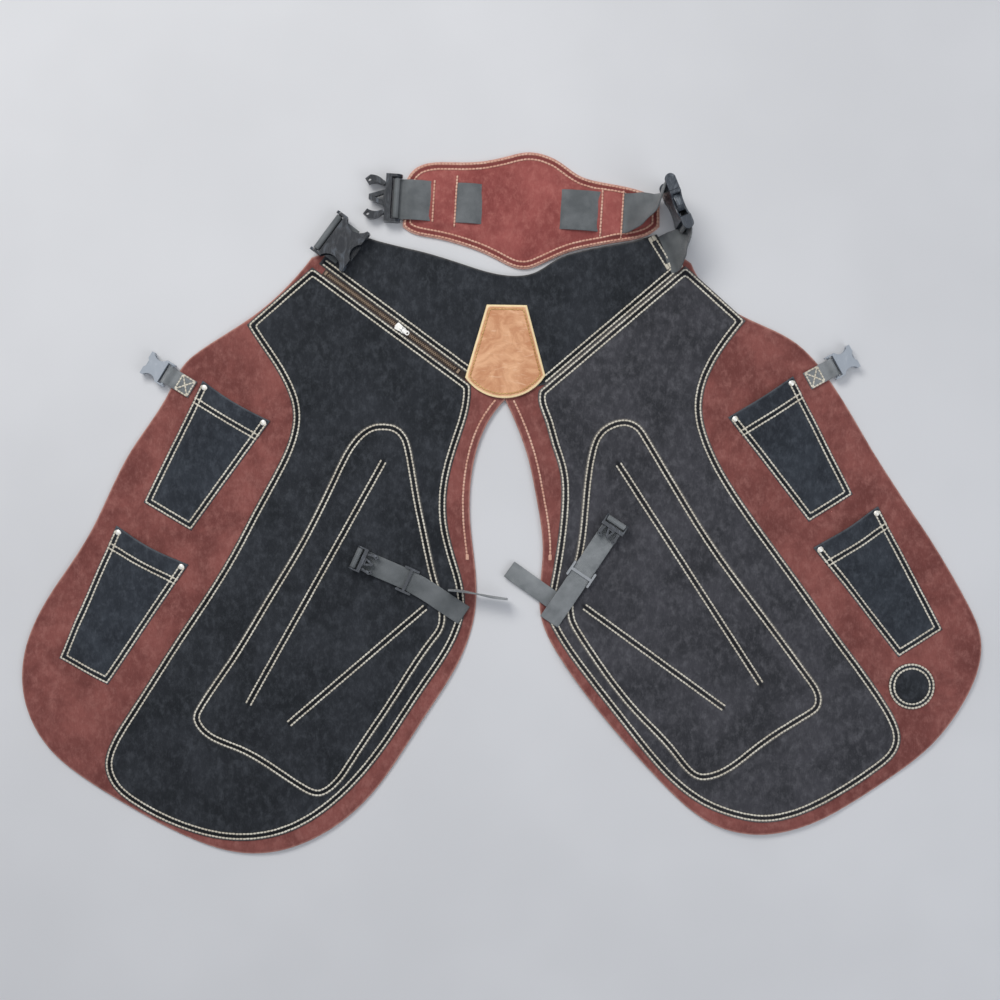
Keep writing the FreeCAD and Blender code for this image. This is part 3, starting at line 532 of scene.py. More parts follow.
def leather(node, material, slot, lines=(), grooves=(), cell=6 * MM, body="apron", loop=None, wavy=True):
    """A leather layer in the place of a flat CAD node, over its outline unless loop is given."""
    loop = outline(node) if loop is None else loop
    low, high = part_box(node)
    thick = high.z - low.z

    def lie(points):
        return rise(points) if wavy else np.zeros(len(points))

    def top(points, edge):
        swell = 0.25 * MM * ease(edge, 6 * MM, 20 * MM)
        body_height = thick * (0.60 + 0.40 * ease(edge, 0, 1.4 * MM))
        return low.z + lie(points) + body_height + swell - dips(lines, points)

    def bottom(points, edge):
        return low.z + lie(points) + thick * 0.15 * (1 - ease(edge, 0, 1.4 * MM))

    made = flat_piece(node + "_leather", loop, top, bottom, material, lines, grooves, cell,
                      body=body, slot=slot)
    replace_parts(made, node)
    abs(area_of(loop))


def facing_up(points):
    """Points and normals of a row of stitching that faces up."""
    return points, np.tile(UP, (len(points), 1))


def raised(line, height, closed=False):
    """A row of stitching along a plan line laid on the leather."""
    line = np.asarray(line, float)
    line = spaced(closing(line) if closed else line, 3 * MM)
    return facing_up(np.column_stack([line, height + rise(line)]))


PITCH, GAP = 4.2 * MM, 0.2 * MM
SIDES = 6
AROUND = [2 * math.pi * k / SIDES for k in range(SIDES)]
# rings of a stitch: place along it, size, and lift
STATIONS = [(0.0, 0.45, -0.75), (0.13, 0.92, -0.1), (0.5, 1.0, 0.3), (0.87, 0.92, -0.1),
            (1.0, 0.45, -0.75)]
JITTER, SWAY = 0.10, 0.12  # how far stitches stray along and across their row, in millimetres


def stitches(name, rows, material=CREAM, body="apron", wide=1.1 * MM, high=0.62 * MM):
    """Every stitch of some rows, each a small plump capsule that dives at both ends."""
    vertices, faces = [], []
    for points, normals in rows:
        run = lengths(points)
        pitch = run[-1] / max(1, round(run[-1] / PITCH))
        starts = np.arange(0.1 * MM, run[-1] - pitch / 2, pitch)
        starts = starts + rng.uniform(-JITTER, JITTER, len(starts)) * MM
        at = starts[:, None] + np.array([s[0] for s in STATIONS])[None, :] * (pitch - GAP)
        place = np.stack([np.interp(at, run, points[:, k]) for k in range(3)], axis=-1)
        normal = np.stack([np.interp(at, run, normals[:, k]) for k in range(3)], axis=-1)
        along = np.gradient(place, axis=1)
        along /= np.linalg.norm(along, axis=-1, keepdims=True)
        side = np.cross(normal, along)
        sway = rng.uniform(-SWAY, SWAY, (len(starts), 1, 1)) * MM
        place = place + side * sway
        for i in range(len(starts)):
            base = len(vertices)
            for j, (_, size, lift) in enumerate(STATIONS):
                centre = place[i, j] + normal[i, j] * lift * high
                for angle in AROUND:
                    vertices.append(centre + side[i, j] * math.cos(angle) * wide * size
                                    + normal[i, j] * math.sin(angle) * high * size)
            faces += tube_faces(len(STATIONS), SIDES, base)
    return piece(name, vertices, faces, material, body)


def bartack(centre, angle, width, z):
    """A dense block of short stitches across a seam's end."""
    step, cross = heading(angle)[:2], heading(angle + 90)[:2] * width / 2
    middles = [centre + step * shift * 1.1 * MM for shift in (-2, -1, 0, 1, 2)]
    return [raised([middle - cross, middle + cross], z) for middle in middles]


# ---- leather layers
# the yoke's two long seams: outer end, and direction towards the crotch patch
ZIP_AT, ZIP_TURN = (-212.4, 276.0), -36.5
SEAM_AT, SEAM_TURN = (226.8, 288.0), 220.3
OUTER_ROW, GROOVE, INNER_ROW = 2.4 * MM, 5.3 * MM, 8.2 * MM


def beside(start, turn, distance, sideways):
    """A plan point from a start: so far along a direction, and so far to the left of it."""
    step = heading(turn)[:2] * distance + heading(turn + 90)[:2] * sideways
    return plan(*start) + step * MM


def in_box(node, u, v):
    """A plan point at fractions of a node's box."""
    low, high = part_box(node)
    return np.array([low.x + (high.x - low.x) * u, low.y + (high.y - low.y) * v])


def twin(line, half):
    """Two lines, one each side of a straight one."""
    run = line[-1] - line[0]
    normal = np.array([-run[1], run[0]]) / np.linalg.norm(run) * half
    return [line + normal, line - normal]


def double_sewn(node, material, rows_name, middles):
    """A black layer with two rows round its edge, and a pair of rows along each of some middle lines."""
    loop = outline(node)
    pair = [inset(loop, OUTER_ROW), inset(loop, INNER_ROW)]
    channels = [line for middle in middles for line in twin(middle, CHANNEL_HALF)]
    # the groove between the two rows and the middle of each channel are darkened: pressed leather and
    # painted shade
    leather(node, material, "black_suede", pair + channels, [inset(loop, GROOVE)] + middles)
    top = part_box(node)[1].z
    rows = [raised(line, top, True) for line in pair] + [raised(line, top) for line in channels]
    stitches(rows_name, rows)


# sewn channels on each knee patch, as fractions of its box
CHANNELS = {
    "left": [((0.753, 0.897), (0.220, 0.248)), ((0.917, 0.507), (0.380, 0.196))],
    "right": [((0.205, 0.874), (0.759, 0.268)), ((0.072, 0.481), (0.616, 0.201))],
}
CHANNEL_HALF = 3.1 * MM


def leg_panel(side, depth):
    """A red leg panel with one row along its inner edge, from the crotch patch down to a bartack."""
    node = side + "_leg_panel"
    inner = inset(outline(node), depth)
    apex, foot = plan(0, 123)[1], plan(0, -68)[1]
    crotch = between(inner, lambda p: foot < p[1] < apex and abs(p[0]) < 70 * MM)
    leather(node, RED, "red_suede", [crotch], cell=6.5 * MM)
    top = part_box(node)[1].z
    low_end = min((crotch[0], crotch[-1]), key=lambda p: p[1])
    rows = [raised(crotch, top)] + bartack(low_end, 90, 4.2 * MM, top)
    stitches(side + "_crotch_stitching", rows, PINK, wide=1.3 * MM)


for side, black, depth in (("left", BLACK, 8 * MM), ("right", LIT_RIGHT_BLACK, 9 * MM)):
    leg_panel(side, depth)
    double_sewn(side + "_leg_patch", black, side + "_patch_stitching", [])
    knee = side + "_knee_patch"
    middles = [np.array([in_box(knee, *a), in_box(knee, *b)]) for a, b in CHANNELS[side]]
    double_sewn(knee, black, side + "_knee_stitching", middles)


def yoke():
    """The yoke, sewn along both diagonals and at its right-hand end, where it covers a webbing tab."""
    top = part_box("waist_yoke")[1].z
    depths = (OUTER_ROW / MM, INNER_ROW / MM)
    zip_rows = [np.array([beside(ZIP_AT, ZIP_TURN, s, 4 + row) for s in (-6, 224)]) for row in depths]
    seam_rows = [np.array([beside(SEAM_AT, SEAM_TURN, s, -row) for s in (10, 226)]) for row in depths]
    # the lines between each pair of rows are darkened: pressed leather and painted shade
    folds = [(zip_rows[0] + zip_rows[1]) / 2, (seam_rows[0] + seam_rows[1]) / 2]
    end_rows = [np.array([plan(177, 315), plan(199.4, 279)]),
                np.array([plan(184, 317.5), plan(204.8, 283.5)])]
    # the right end is square to its rows, so two corners of the CAD outline move along
    loop = outline("waist_yoke")
    end_corners = [(plan(178, 315.5), plan(186.5, 320.5)),
                   (beside(SEAM_AT, SEAM_TURN, 8, 0), beside(SEAM_AT, SEAM_TURN, 19, 0))]
    for old, new in end_corners:
        loop[np.argmin(np.linalg.norm(loop - old, axis=1))] = new
    lines = zip_rows + seam_rows + end_rows
    leather("waist_yoke", BLACK, "black_suede", lines, folds, loop=loop)
    rows = [raised(line, top) for line in lines]
    for x, y in ((181.3, 314.8), (201.0, 282.8)):
        rows += bartack(plan(x, y), -60, 9 * MM, top)
    stitches("yoke_stitching", rows)


def crotch_patch():
    """Tan patch where the legs meet, with one row round it."""
    row = inset(outline("crotch_patch"), 5.2 * MM)
    leather("crotch_patch", TAN, "tan_leather", [row], cell=4 * MM)
    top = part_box("crotch_patch")[1].z
    stitches("crotch_patch_stitching", [raised(row, top, True)], TAN_THREAD)


yoke()
crotch_patch()
leather("zip_pocket_lining", LINING, "pocket_cloth", cell=12 * MM)


# ---- pockets
# sewn-down sides, how far a mouth stands open, and how deep below it the hem's fold lies
FLANGE, BILLOW, HEM = 11 * MM, 8.0 * MM, 25 * MM
# depths of the side rows and the fold between them, and how far the hem's rows are from its fold
SIDE_ROWS, SIDE_FOLD, HEM_ROW = (1.9 * MM, 7.6 * MM), 4.7 * MM, 3 * MM


def pocket_corners(node):
    """Foot and mouth corners of a pocket front, each as (left, right) seen from the foot up."""
    low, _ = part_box(node)
    ground = [v.co.to_2d() for v in nodes[node].data.vertices if v.co.z < low.z + 1e-5]
    hull = [np.array(ground[i]) for i in convex_hull_2d(ground)]
    hull = np.array([p for i, p in enumerate(hull) if np.linalg.norm(p - hull[i - 1]) > 0.3 * MM])
    sharp = hull[corners_of(hull, 20)]
    if area_of(sharp) < 0:
        sharp = sharp[::-1]
    foot = int(np.argmin(np.linalg.norm(np.roll(sharp, -1, axis=0) - sharp, axis=1)))
    foot_left, foot_right, mouth_right, mouth_left = np.roll(sharp, -foot, axis=0)
    return foot_left, foot_right, mouth_left, mouth_right


def pocket(node):
    """A bowed pocket front; u runs from -1 to 1 across it and v from 0 to 1 up to its mouth."""
    foot_left, foot_right, mouth_left, mouth_right = pocket_corners(node)
    z0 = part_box(node)[0].z
    climb = (mouth_left + mouth_right - foot_left - foot_right) / 2
    depth = float(np.linalg.norm(climb))
    upward = climb / depth
    seed = float(foot_left[0] * 40)
    mouth_sag = 2.6 * MM if node.startswith("left") else 0.8 * MM

    def ground(u, v):
        """Plan points, and half the front's width there."""
        left = foot_left + (mouth_left - foot_left) * v[:, None]
        right = foot_right + (mouth_right - foot_right) * v[:, None]
        half = np.linalg.norm(right - left, axis=1) / 2
        place = left + (right - left) * ((u + 1) / 2)[:, None]
        sag = mouth_sag * (1 - u ** 2) * ease(v, 0.82, 1.0)
        return place - upward * sag[:, None], half

    def front(u, v, over):
        """Points of the front, and their distance from its edge: over is 1 on its face and 0 behind it."""
        place, half = ground(u, v)
        inner = np.clip(np.abs(u) * half / (half - FLANGE), 0, 1)
        bow = BILLOW * (0.05 + 0.95 * v ** 1.4) * (1 - inner ** 2) ** 1.35
        ripple = np.array([noise.noise((a * 2.2 + seed, b * 2.6, seed)) for a, b in zip(u, v)])
        bow = bow + 1.1 * MM * ripple * v * (1 - inner ** 2)
        to_edge = np.minimum.reduce([(1 - np.abs(u)) * half, v * depth, (1 - v) * depth])
        thick = 1.8 * MM * (0.55 + 0.45 * ease(to_edge, 0, 1.5 * MM))
        thick = thick + 0.9 * MM * ease(v * depth, depth - HEM - 1.2 * MM, depth - HEM + 0.6 * MM)
        return np.column_stack([place, z0 + rise(place) + bow + thick * over]), to_edge

    def side_row(depth_in):
        """Line down one side, across the foot and up the other."""
        v_foot = depth_in / depth
        sides = np.linspace(0.97, v_foot, 60)
        half = ground(sides * 0, sides)[1]
        edge = 1 - depth_in / half
        across = np.linspace(-edge[-1], edge[-1], 30)
        u = np.concatenate([-edge, across[1:-1], edge[::-1]])
        return u, np.concatenate([sides, across[1:-1] * 0 + v_foot, sides[::-1]])

    def hem_row(below):
        u = np.linspace(-1.0, 1.0, 40)
        return u, u * 0 + 1 - below / depth

    def laid(u, v):
        """A row of stitching on the front."""
        across = front(np.clip(u + 0.02, -1, 1), v, 1)[0] - front(np.clip(u - 0.02, -1, 1), v, 1)[0]
        normal = np.cross(across, np.append(upward, 0.0))
        return front(u, v, 1)[0], normal / np.linalg.norm(normal, axis=1)[:, None]

    rows = [side_row(inward) for inward in SIDE_ROWS]
    rows += [hem_row(HEM - HEM_ROW), hem_row(HEM + HEM_ROW)]
    stitches(node + "_stitching", [laid(u, v) for u, v in rows])

    nu, nv = 49, 81
    us, vs = np.meshgrid(np.linspace(-1, 1, nu), np.linspace(0, 1, nv))
    u, v = us.ravel(), vs.ravel()
    face, edge = front(u, v, 1)
    back = front(u, v, 0)[0]
    lines = [front(a, b, 1)[0][:, :2] for a, b in rows]
    face[:, 2] -= dips(lines, face[:, :2], 0.4 * MM)
    # the side crease and the hem's crease are darkened: pressed leather and painted shade
    grooves = [front(u, v, 1)[0][:, :2] for u, v in (side_row(SIDE_FOLD), hem_row(HEM))]
    fold = near_lines(grooves, face[:, :2], FOLD_SHADE_HALF)
    cells = [[a, a + 1, a + nu + 1, a + nu] for a in range(nu * nv - nu) if a % nu < nu - 1]
    made = piece(node + "_front", np.vstack([face, back]), skin_faces(cells, nu * nv), POCKET_BLACK,
                 "apron", "black_suede", **skin_fields(edge, fold))
    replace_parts(made, node)


for side in ("left", "right"):
    for level in ("upper", "lower"):
        pocket(f"{side}_{level}_pocket")


# ---- magnet cover
def magnet_cover():
    """Round cover over the magnet, sewn round its rim and round the magnet."""
    low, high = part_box("magnet_cover")
    centre = (low + high) / 2
    radius, top = (high.x - low.x) / 2 / MM, (high.z - low.z) / MM
    # half a section from the rim to the middle: radius and height in millimetres
    profile = [(radius, 0), (radius, 1.1), (radius - 0.8, 1.7), (radius - 2, 1.5), (radius - 4, 2),
               (22.6, 1.9), (21, 2), (18.6, top - 1.2), (16.6, top - 0.3), (13.5, top),
               (7, top + 0.2), (2, top + 0.25)]
    around = 72
    turns = 2 * math.pi * np.arange(around) / around
    wobble = 1 + 0.012 * np.sin(3 * turns + 0.7)

    def ring(r, z, angles, stray=1.0):
        x, y = centre.x + r * MM * stray * np.cos(angles), centre.y + r * MM * stray * np.sin(angles)
        return np.column_stack([x, y, np.full(len(angles), low.z + z * MM)])

    vertices = np.vstack([ring(r, z, turns, wobble) for r, z in profile])
    edge = np.repeat([radius - r for r, _ in profile], around)
    made = piece("magnet_cover_leather", vertices, tube_faces(len(profile), around), BLACK,
                 "apron", "black_suede", edge=edge, fold=edge * 0)
    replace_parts(made, "magnet_cover")
    angles = np.linspace(0, 2 * math.pi, 91)
    rows = [facing_up(ring(r, z, angles)) for r, z in ((radius - 1.4, 1.7), (21.2, 2.2))]
    stitches("magnet_cover_stitching", rows, wide=1.3 * MM)


magnet_cover()


# ---- webbing
def smooth_path(points, step):
    """Smooth run through points (any number of columns), spaced by their first three."""
    points = np.asarray(points, float)
    gaps = np.maximum(np.linalg.norm(np.diff(points[:, :3], axis=0), axis=1), 1e-6)
    slopes = np.diff(points, axis=0) / gaps[:, None]
    tangents = np.vstack([slopes[:1], (slopes[1:] * gaps[:-1, None] + slopes[:-1] * gaps[1:, None])
                          / (gaps[1:] + gaps[:-1])[:, None], slopes[-1:]])
    out = []
    for i, size in enumerate(gaps):
        count = max(2, math.ceil(size / step))
        t = np.linspace(0, 1, count + 1)[:-1][:, None]
        out.append((2 * t**3 - 3 * t**2 + 1) * points[i] + (t**3 - 2 * t**2 + t) * size * tangents[i]
                   + (3 * t**2 - 2 * t**3) * points[i + 1] + (t**3 - t**2) * size * tangents[i + 1])
    return np.vstack(out + [points[-1:]])


def webbing(name, stations, width, material, body=None, thick=1.6 * MM):
    """Flat tape along stations of (point, direction across it), with rounded selvedges."""
    path = smooth_path([[*p, *a] for p, a in stations], 2.0 * MM)
    place, across = path[:, :3], path[:, 3:]
    tangent = np.gradient(place, axis=0)
    tangent /= np.linalg.norm(tangent, axis=1)[:, None]
    across = across - tangent * np.sum(across * tangent, axis=1)[:, None]
    across /= np.linalg.norm(across, axis=1)[:, None]
    normal = np.cross(across, tangent)
    half, lift = width / 2, thick / 2
    spread = np.linspace(-half + 0.7 * MM, half - 0.7 * MM, 9)
    section = [(s, lift * (0.93 + 0.07 * math.cos(s / width * 9))) for s in spread]
    selvedge = [(half - 0.15 * MM, lift * 0.7), (half, 0.0), (half - 0.15 * MM, -lift * 0.7)]
    section += selvedge + [(s, -lift) for s in reversed(spread)] + [(-s, -h) for s, h in selvedge]
    run = lengths(place)
    n, m = len(section), len(place)
    vertices = [place[i] + across[i] * s + normal[i] * h for i in range(m) for s, h in section]
    fields = {"run": np.repeat(run * 1000, n), "across": np.tile([s * 1000 for s, _ in section], m)}
    return piece(name, vertices, tube_faces(m, n), material, body, "webbing", **fields)


def strap(node, stations, width, material):
    """Webbing that rides on the apron in the place of a CAD node."""
    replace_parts(webbing(node + "_webbing", stations, width, material, "apron"), node)


def bar_turn(centre, radius, forward, upward, start, end, across, steps):
    """Stations round a bar: radius in millimetres, angles in degrees in the plane of two directions."""
    return [(centre + radius * MM * (forward * math.cos(a) + upward * math.sin(a)), across)
            for a in np.radians(np.linspace(start, end, steps))]


def straight(origin, out, across, rows):
    """Stations from (distance along out, height) in millimetres."""
    return [(origin + out * x * MM + UP * z * MM, across) for x, z in rows]


def along_stations(rows):
    """Stations from (x, y, z, heading, tilt); tilt lifts the right-hand edge."""
    out = []
    for x, y, z, turn, tilt in rows:
        lean = math.radians(tilt)
        out.append((spot(x, y, z), heading(turn - 90) * math.cos(lean) + UP * math.sin(lean)))
    return out


# sizes that the buckles share with their webbing: radius round a bar, and where the tape reaches it
LEG_LOOP, LEG_RAMP = 2.9, 3.8
WAIST_LOOP, WAIST_RAMP = 3.36, 4.26
LEG_WIDE, WAIST_WIDE = 25 * MM, 48 * MM


def outer_tab(side, bar, angle):
    """Short tab: sewn to the leg, round the socket's bar, and back on itself."""
    centre, out = spot(*bar, 7.5), heading(angle + 180)
    across = heading(angle + 90)
    stations = straight(centre, out, across, [(33.8, -4.5), (18.0, -4.5), (LEG_RAMP + 1.5, -4.5)])
    stations += bar_turn(centre, LEG_LOOP, out, UP, -80, -300, across, 11)
    stations += straight(centre, out, across, [(8.0, -2.2), (12.0, -2.85), (33.5, -2.85)])
    strap(side + "_outer_tab", stations, 22 * MM, PALE_WEB)
    near, far, wing, height = 15.5, 32.3, 9.8, -2.05
    box = [centre + (out * x + across * y + UP * height) * MM
           for x, y in ((near, -wing), (near, wing), (far, wing), (far, -wing))]
    runs = [box[0:2], box[1:3], box[2:4], [box[3], box[0]], [box[0], box[2]], [box[1], box[3]]]
    stitches(side + "_outer_tab_stitching", [facing_up(spaced(run, 2 * MM)) for run in runs])


outer_tab("left", (-398.5, 152.0), 148.7)
outer_tab("right", (396.5, 160.8), 28.7)


def leg_strap(side, material, root, angle, bend, turn, length):
    """Leg webbing from its sewn root, with a turn at a bend, and round the folded clip's bar."""
    root = spot(*root, 0)
    out, further = heading(angle), heading(angle + turn)
    corner = root + out * bend * MM
    across, across_end = heading(angle - 90), heading(angle + turn - 90)
    start = [(-13.0, 5.0), (-7.0, 5.1), (0.0, 6.4), (8.0, 8.6), (18.0, 9.4), (bend - 14, 9.5)]
    rest = length - bend
    end = [(10.0, 9.4), (rest - 22, 9.4), (rest - LEG_RAMP - 6, 9.4), (rest - LEG_RAMP, 9.9)]
    bar = corner + further * rest * MM + UP * 15.1 * MM
    stations = straight(root, out, across, start) + straight(corner, further, across_end, end)
    stations += bar_turn(bar, LEG_LOOP, -further, UP, -80, -330, across_end, 12)
    made = webbing(side + "_leg_strap_webbing", stations, LEG_WIDE, material)
    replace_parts(made, side + "_leg_strap", side + "_strap_anchor")
    hinge = [tuple(root + out * x * MM) for x in (-5, 6)]
    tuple(hinge[0])
    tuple(hinge[1])
    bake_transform(made)


leg_strap("left", WEB, (-55.1, -128.5), 145.7, 50.5, 10.0, 132.5)
leg_strap("right", PALE_WEB, (64.5, -132.6), 56.1, 82.0, 0.0, 130.0)


# spare ends of the leg webbing; the left one stands on its edge
TAILS = {
    "left": (20 * MM, [(-63, -104.5, 16, -4, 90), (-47, -106, 15.6, -6, 88), (-30, -109, 16.2, -10, 92),
                       (-10, -113, 15.8, -10, 88), (8, -115.5, 16, -9, 90)]),
    "right": (22 * MM, [(62, -117.4, 5.1, 144.5, 0), (40, -101.7, 5.4, 144.5, 3),
                        (24, -90.3, 5.0, 144.5, -2), (9.6, -80, 5.1, 144.5, 0)]),
}
for side, (width, rows) in TAILS.items():
    strap(side + "_strap_tail", along_stations(rows), width, PALE_WEB)


def left_yoke_tab():
    """Wide tab under the folded socket, sewn to the yoke and turned round the socket's bar."""
    centre, out, across = spot(-206.0, 321.0, 12.34), heading(ZIP_TURN), heading(ZIP_TURN - 90)
    flat = [(28.0, -7.54), (16.0, -7.54), (WAIST_RAMP + 3.5, -7.5)]
    turn = bar_turn(centre, WAIST_LOOP, out, UP, -95, -340, across, 12)
    strap("left_yoke_tab", straight(centre, out, across, flat) + turn, WAIST_WIDE, WEB)


left_yoke_tab()

# middle of the clipped waist buckle, and its bars' distance from it
BUCKLE_AT, BUCKLE_TURN, BUCKLE_Z, BUCKLE_HALF = (205.8, 348.0), -67.7, 36.5, 27.46


def upright_bar(side):
    """A bar of the clipped waist buckle, which stands on its edge."""
    step = heading(BUCKLE_TURN) * side * BUCKLE_HALF
    return spot(*BUCKLE_AT, BUCKLE_Z) + step * MM


def right_yoke_tab():
    """Wide tab from under the yoke's end, turning on edge to the clipped buckle."""
    bar = upright_bar(1)
    run, side = heading(100), heading(10)
    stations = along_stations([(176, 287, 2.4, 22, 0), (188, 291.8, 2.4, 22, 0), (198, 295.8, 3.6, 24, 3),
                               (208, 300, 17.5, 36, 38), (216, 306, 29.5, 62, 70)])
    stations.append((bar + side * WAIST_LOOP * MM - run * 7 * MM, UP))
    stations += bar_turn(bar, WAIST_LOOP, side, run, 0, 250, UP, 12)
    strap("right_yoke_tab", stations, WAIST_WIDE, WEB)


right_yoke_tab()

BELT_AT, BELT_TURN, LEFT_BAR_Z = (-125.0, 362.2), -3.6, 9.16
# the belt's heights along its run: low where the pad's face covers it, and high where it shows
BELT_WAVE = [(7, 6.2), (12, 8.2), (20, 9.0), (32, 8.8), (39, 7.2), (46, 5.8), (57, 5.6), (68, 6.2),
             (75, 8.4), (82, 9.2), (94, 9.0), (101, 7.2), (108, 5.8), (140, 5.4), (186, 5.6), (195, 6.8),
             (201, 8.6), (214, 9.3), (230, 9.2), (238, 7.8), (246, 6.0), (256, 5.7), (266, 5.9),
             (273, 8.0)]


def belt():
    """Waist webbing from the left clip, through the pad's slots, twisting on edge to the right clip."""
    out, across = heading(BELT_TURN), heading(BELT_TURN - 90)
    left_bar = spot(*BELT_AT, LEFT_BAR_Z)
    stations = bar_turn(left_bar, WAIST_LOOP, out, UP, -330, -90, across, 12)
    stations += straight(spot(*BELT_AT, 0), out, across, BELT_WAVE)
    twist = [(158, 346, 14, 3, 20), (170, 348, 23.5, 20, 45), (181, 352.5, 31, 45, 68)]
    stations += along_stations(twist)
    bar = upright_bar(-1)
    run, side = heading(75), heading(165)
    stations.append((bar + side * WAIST_LOOP * MM - run * 10 * MM, UP))
    stations.append((bar + side * WAIST_LOOP * MM, UP))
    stations += bar_turn(bar, WAIST_LOOP, side, run, 25, 250, UP, 11)
    made = webbing("belt_webbing_strap", stations, WAIST_WIDE, WEB, "belt")
    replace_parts(made, "belt_webbing")


belt()


# ---- back pad
TUNNEL = 8.4 * MM  # height of the pad's face where it covers the belt
RIM_ROWS, RIM_FOLD = (2.6 * MM, 8.6 * MM), 5.6 * MM  # depths of its rim's rows and the fold between them


def back_pad():
    """Lining and a padded face, quilted by its rim rows and the slots that the belt goes through."""
    loop = outline("back_pad_lining")
    leather("back_pad_lining", PAD_RED, "pad_suede", cell=7 * MM, body="belt", wavy=False)
    lining_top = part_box("back_pad_lining")[1].z
    start, out, side = plan(*BELT_AT), heading(BELT_TURN)[:2], heading(BELT_TURN + 90)[:2]
    rim = [inset(loop, depth) for depth in RIM_ROWS]

    def keeper(x, low, high):
        """A line across the belt at x millimetres along it."""
        return np.array([start + (out * x + side * low) * MM, start + (out * x + side * high) * MM])

    slots = [keeper(x, -27, 27) for x in (42, 73, 104, 197.5, 242.5, 273)]
    keepers = [keeper(71, -29, 33), keeper(245.5, -30, 29), keeper(270.5, -31, 27), keeper(44.5, -25, 25)]
    lines = rim + keepers

    def top(points, edge):
        """Height of the face: a puffed middle, a bead in the rim, and flat tunnels over the belt."""
        run = (points - start) @ out * 1000
        cross = np.abs((points - start) @ side) * 1000
        puff = ease(edge, 7.5 * MM, 24 * MM)
        height = 2.3 * MM * (0.55 + 0.45 * ease(edge, 0, 1.5 * MM)) + 3.6 * MM * puff
        bead = 0.9 * MM * np.exp(-((edge - RIM_FOLD) / (1.6 * MM)) ** 2)
        wave = np.array([noise.noise((x * 24, y * 24, 1.7)) for x, y in points])
        over = ease(run, 40, 45) * ease(run, 75, 70) + ease(run, 101, 108) * ease(run, 200.5, 194)
        over = (over + ease(run, 239, 245) * ease(run, 276, 270)) * ease(30.5 - cross, 0, 5.5)
        cloth = lining_top + height + bead + 0.7 * MM * wave * puff
        cloth = cloth + np.clip(TUNNEL - cloth, 0.0, None) * over
        return cloth - dips(lines, points, 0.35 * MM)

    def bottom(points, edge):
        return np.full(len(points), lining_top)

    # the line between the rim's rows is darkened: pressed leather and painted shade
    made = flat_piece("back_pad_face_leather", loop, top, bottom, PAD_RED, lines + slots,
                      [inset(loop, RIM_FOLD)], 4 * MM, body="belt", slot="pad_suede")
    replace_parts(made, "back_pad_face", "back_pad_foam")

    def sewn(line):
        line = spaced(line, 2.5 * MM)
        edge = gap(tree_of(resample(loop, 1 * MM)), line)
        return facing_up(np.column_stack([line, top(line, edge) + 0.7 * MM]))

    rows = [sewn(closing(line)) for line in rim] + [sewn(line) for line in keepers]
    stitches("back_pad_stitching", rows, PINK, "belt", wide=1.2 * MM)


back_pad()


# ---- zip
TOOTH_STEP, TAPE_LENGTH = 1.25 * MM, 213


def zip_fastener():
    """A closed row of separate teeth on one strip of tape, which runs on under the crotch patch."""
    chain = np.array([v.co for v in nodes["zip_chain"].data.vertices])
    low, high = chain[:, 2].min(), chain[:, 2].max()
    middle = chain.mean(0)
    out, side = heading(ZIP_TURN), heading(ZIP_TURN + 90)
    reach = (chain - middle) @ out
    # a tooth's levels: height, half length and half width in millimetres
    levels = [(low, 0.48, 1.6), (low + 0.8 * (high - low), 0.48, 1.5), (high, 0.34, 1.2)]
    vertices, faces = [], []
    for i, x in enumerate(np.arange(reach.min() + 1 * MM, reach.max() - 1 * MM, TOOTH_STEP)):
        centre = middle + out * x + side * (0.7 if i % 2 else -0.7) * MM
        faces += tube_faces(3, 4, len(vertices))
        for level, along, across in levels:
            for a, b in ((-1, -1), (1, -1), (1, 1), (-1, 1)):
                p = centre + (out * a * along + side * b * across) * MM
                vertices.append([p[0], p[1], level])
    made = piece("zip_teeth", vertices, faces, TEETH, "apron", "zip_teeth", smooth=False)
    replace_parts(made, "zip_chain")
    tape_low, tape_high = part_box("zip_tapes")
    ends = np.array([beside(ZIP_AT, ZIP_TURN, distance, 0) for distance in (0, TAPE_LENGTH)])
    z = (tape_low.z + tape_high.z) / 2
    stations = [(np.array([*p, z]), -side) for p in spaced(ends, 25 * MM)]
    made = webbing("zip_tape_strip", stations, 7.8 * MM, TAPE, "apron", 0.5 * MM)
    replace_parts(made, "zip_tapes")


zip_fastener()


# ---- moulded and metal parts
def dress(name, material, bevel):
    """Give a hard CAD node its look, join its split corners and round its edges."""
    o = nodes[name]
    o.data.materials.clear()
    o.data.materials.append(material)
    weld = o.modifiers.new("weld", "WELD")
    weld.merge_threshold = 1e-6
    edges = o.modifiers.new("edges", "BEVEL")
    edges.width = bevel * MM
    edges.segments = 2
    edges.limit_method = "ANGLE"
    edges.angle_limit = math.radians(32)
    edges.harden_normals = True


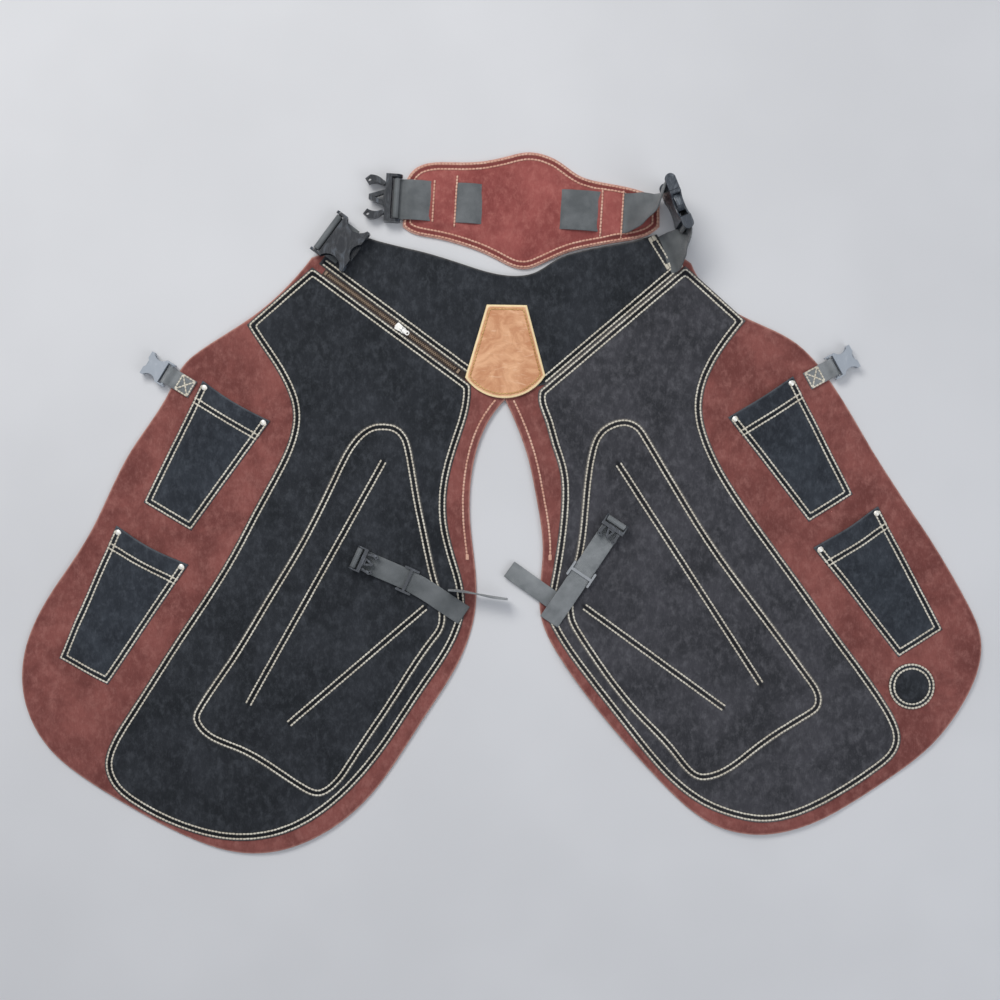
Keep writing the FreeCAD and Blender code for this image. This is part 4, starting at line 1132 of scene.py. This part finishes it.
for name in nodes:
    if "clip" in name or "socket" in name:
        look = GREY_BUCKLE if "clip" in name else SKY_REFLECTING_SOCKETS
        if "waist" in name:
            look = REFLECTING_CLIPPED_BUCKLE if "right" in name else BUCKLE
        dress(name, look, 0.35)
    elif "adjuster" in name:
        dress(name, SILVER_BUCKLE if "right" in name else GREY_BUCKLE, 0.35)
dress("pocket_rivets", GLARE_NICKEL, 0.2)
dress("nail_magnet", MAGNET_LOOK, 0.3)
dress("zip_slider", ZIP_METAL, 0.25)
dress("zip_pull", ZIP_METAL, 0.2)
dress("zip_stops", TEETH, 0.2)


# ---- floor, light and camera
FLOOR = 4.0  # half its width in metres
CAMERA_HEIGHT = 1.667


def stage():
    """A plain pale floor."""
    s = Surface("floor_look", Specular_IOR_Level=0.2)
    s.colour(s.mix(s.span(s.noise(3.0), 0.3, 0.7), tone(214, 215, 217), tone(220, 221, 223)))
    s.rough(0.9)
    corners = [(-FLOOR, -FLOOR, 0), (FLOOR, -FLOOR, 0), (FLOOR, FLOOR, 0), (-FLOOR, FLOOR, 0)]
    floor = piece("floor", corners, [(0, 1, 2, 3)], s.material, smooth=False)
    floor.location.z = -0.4 * MM


def area_light(name, place, size, power, colour):
    """A soft light that looks at the middle of the floor."""
    light = bpy.data.lights.new(name, "AREA")
    light.shape = "RECTANGLE"
    light.size, light.size_y = size
    light.energy = power
    light.color = colour
    lamp = bpy.data.objects.new(name, light)
    lamp.location = place
    lamp.rotation_euler = (-Vector(place)).to_track_quat("-Z", "Y").to_euler()
    bpy.context.scene.collection.objects.link(lamp)


stage()
area_light("key", (-0.9, 1.5, 1.9), (1.4, 1.0), 34, (1.0, 0.98, 0.95))
area_light("fill", (1.6, -0.9, 1.7), (1.8, 1.4), 12, (0.93, 0.96, 1.0))
area_light("top", (0.1, 0.1, 2.8), (1.6, 1.6), 10, (1.0, 1.0, 1.0))
world = bpy.data.worlds.new("studio")
world.use_nodes = True
sky = world.node_tree.nodes["Background"].inputs
sky["Color"].default_value = (0.86, 0.90, 1.0, 1.0)
sky["Strength"].default_value = 0.35
bpy.context.scene.world = world

camera = bpy.data.cameras.new("camera")
camera.lens = 50
camera.sensor_width = 36
viewer = bpy.data.objects.new("camera", camera)
viewer.location = (*plan(-1.2, 2.4), CAMERA_HEIGHT)
bpy.context.scene.collection.objects.link(viewer)
bpy.context.scene.camera = viewer
bpy.context.scene.view_settings.view_transform = "Standard"
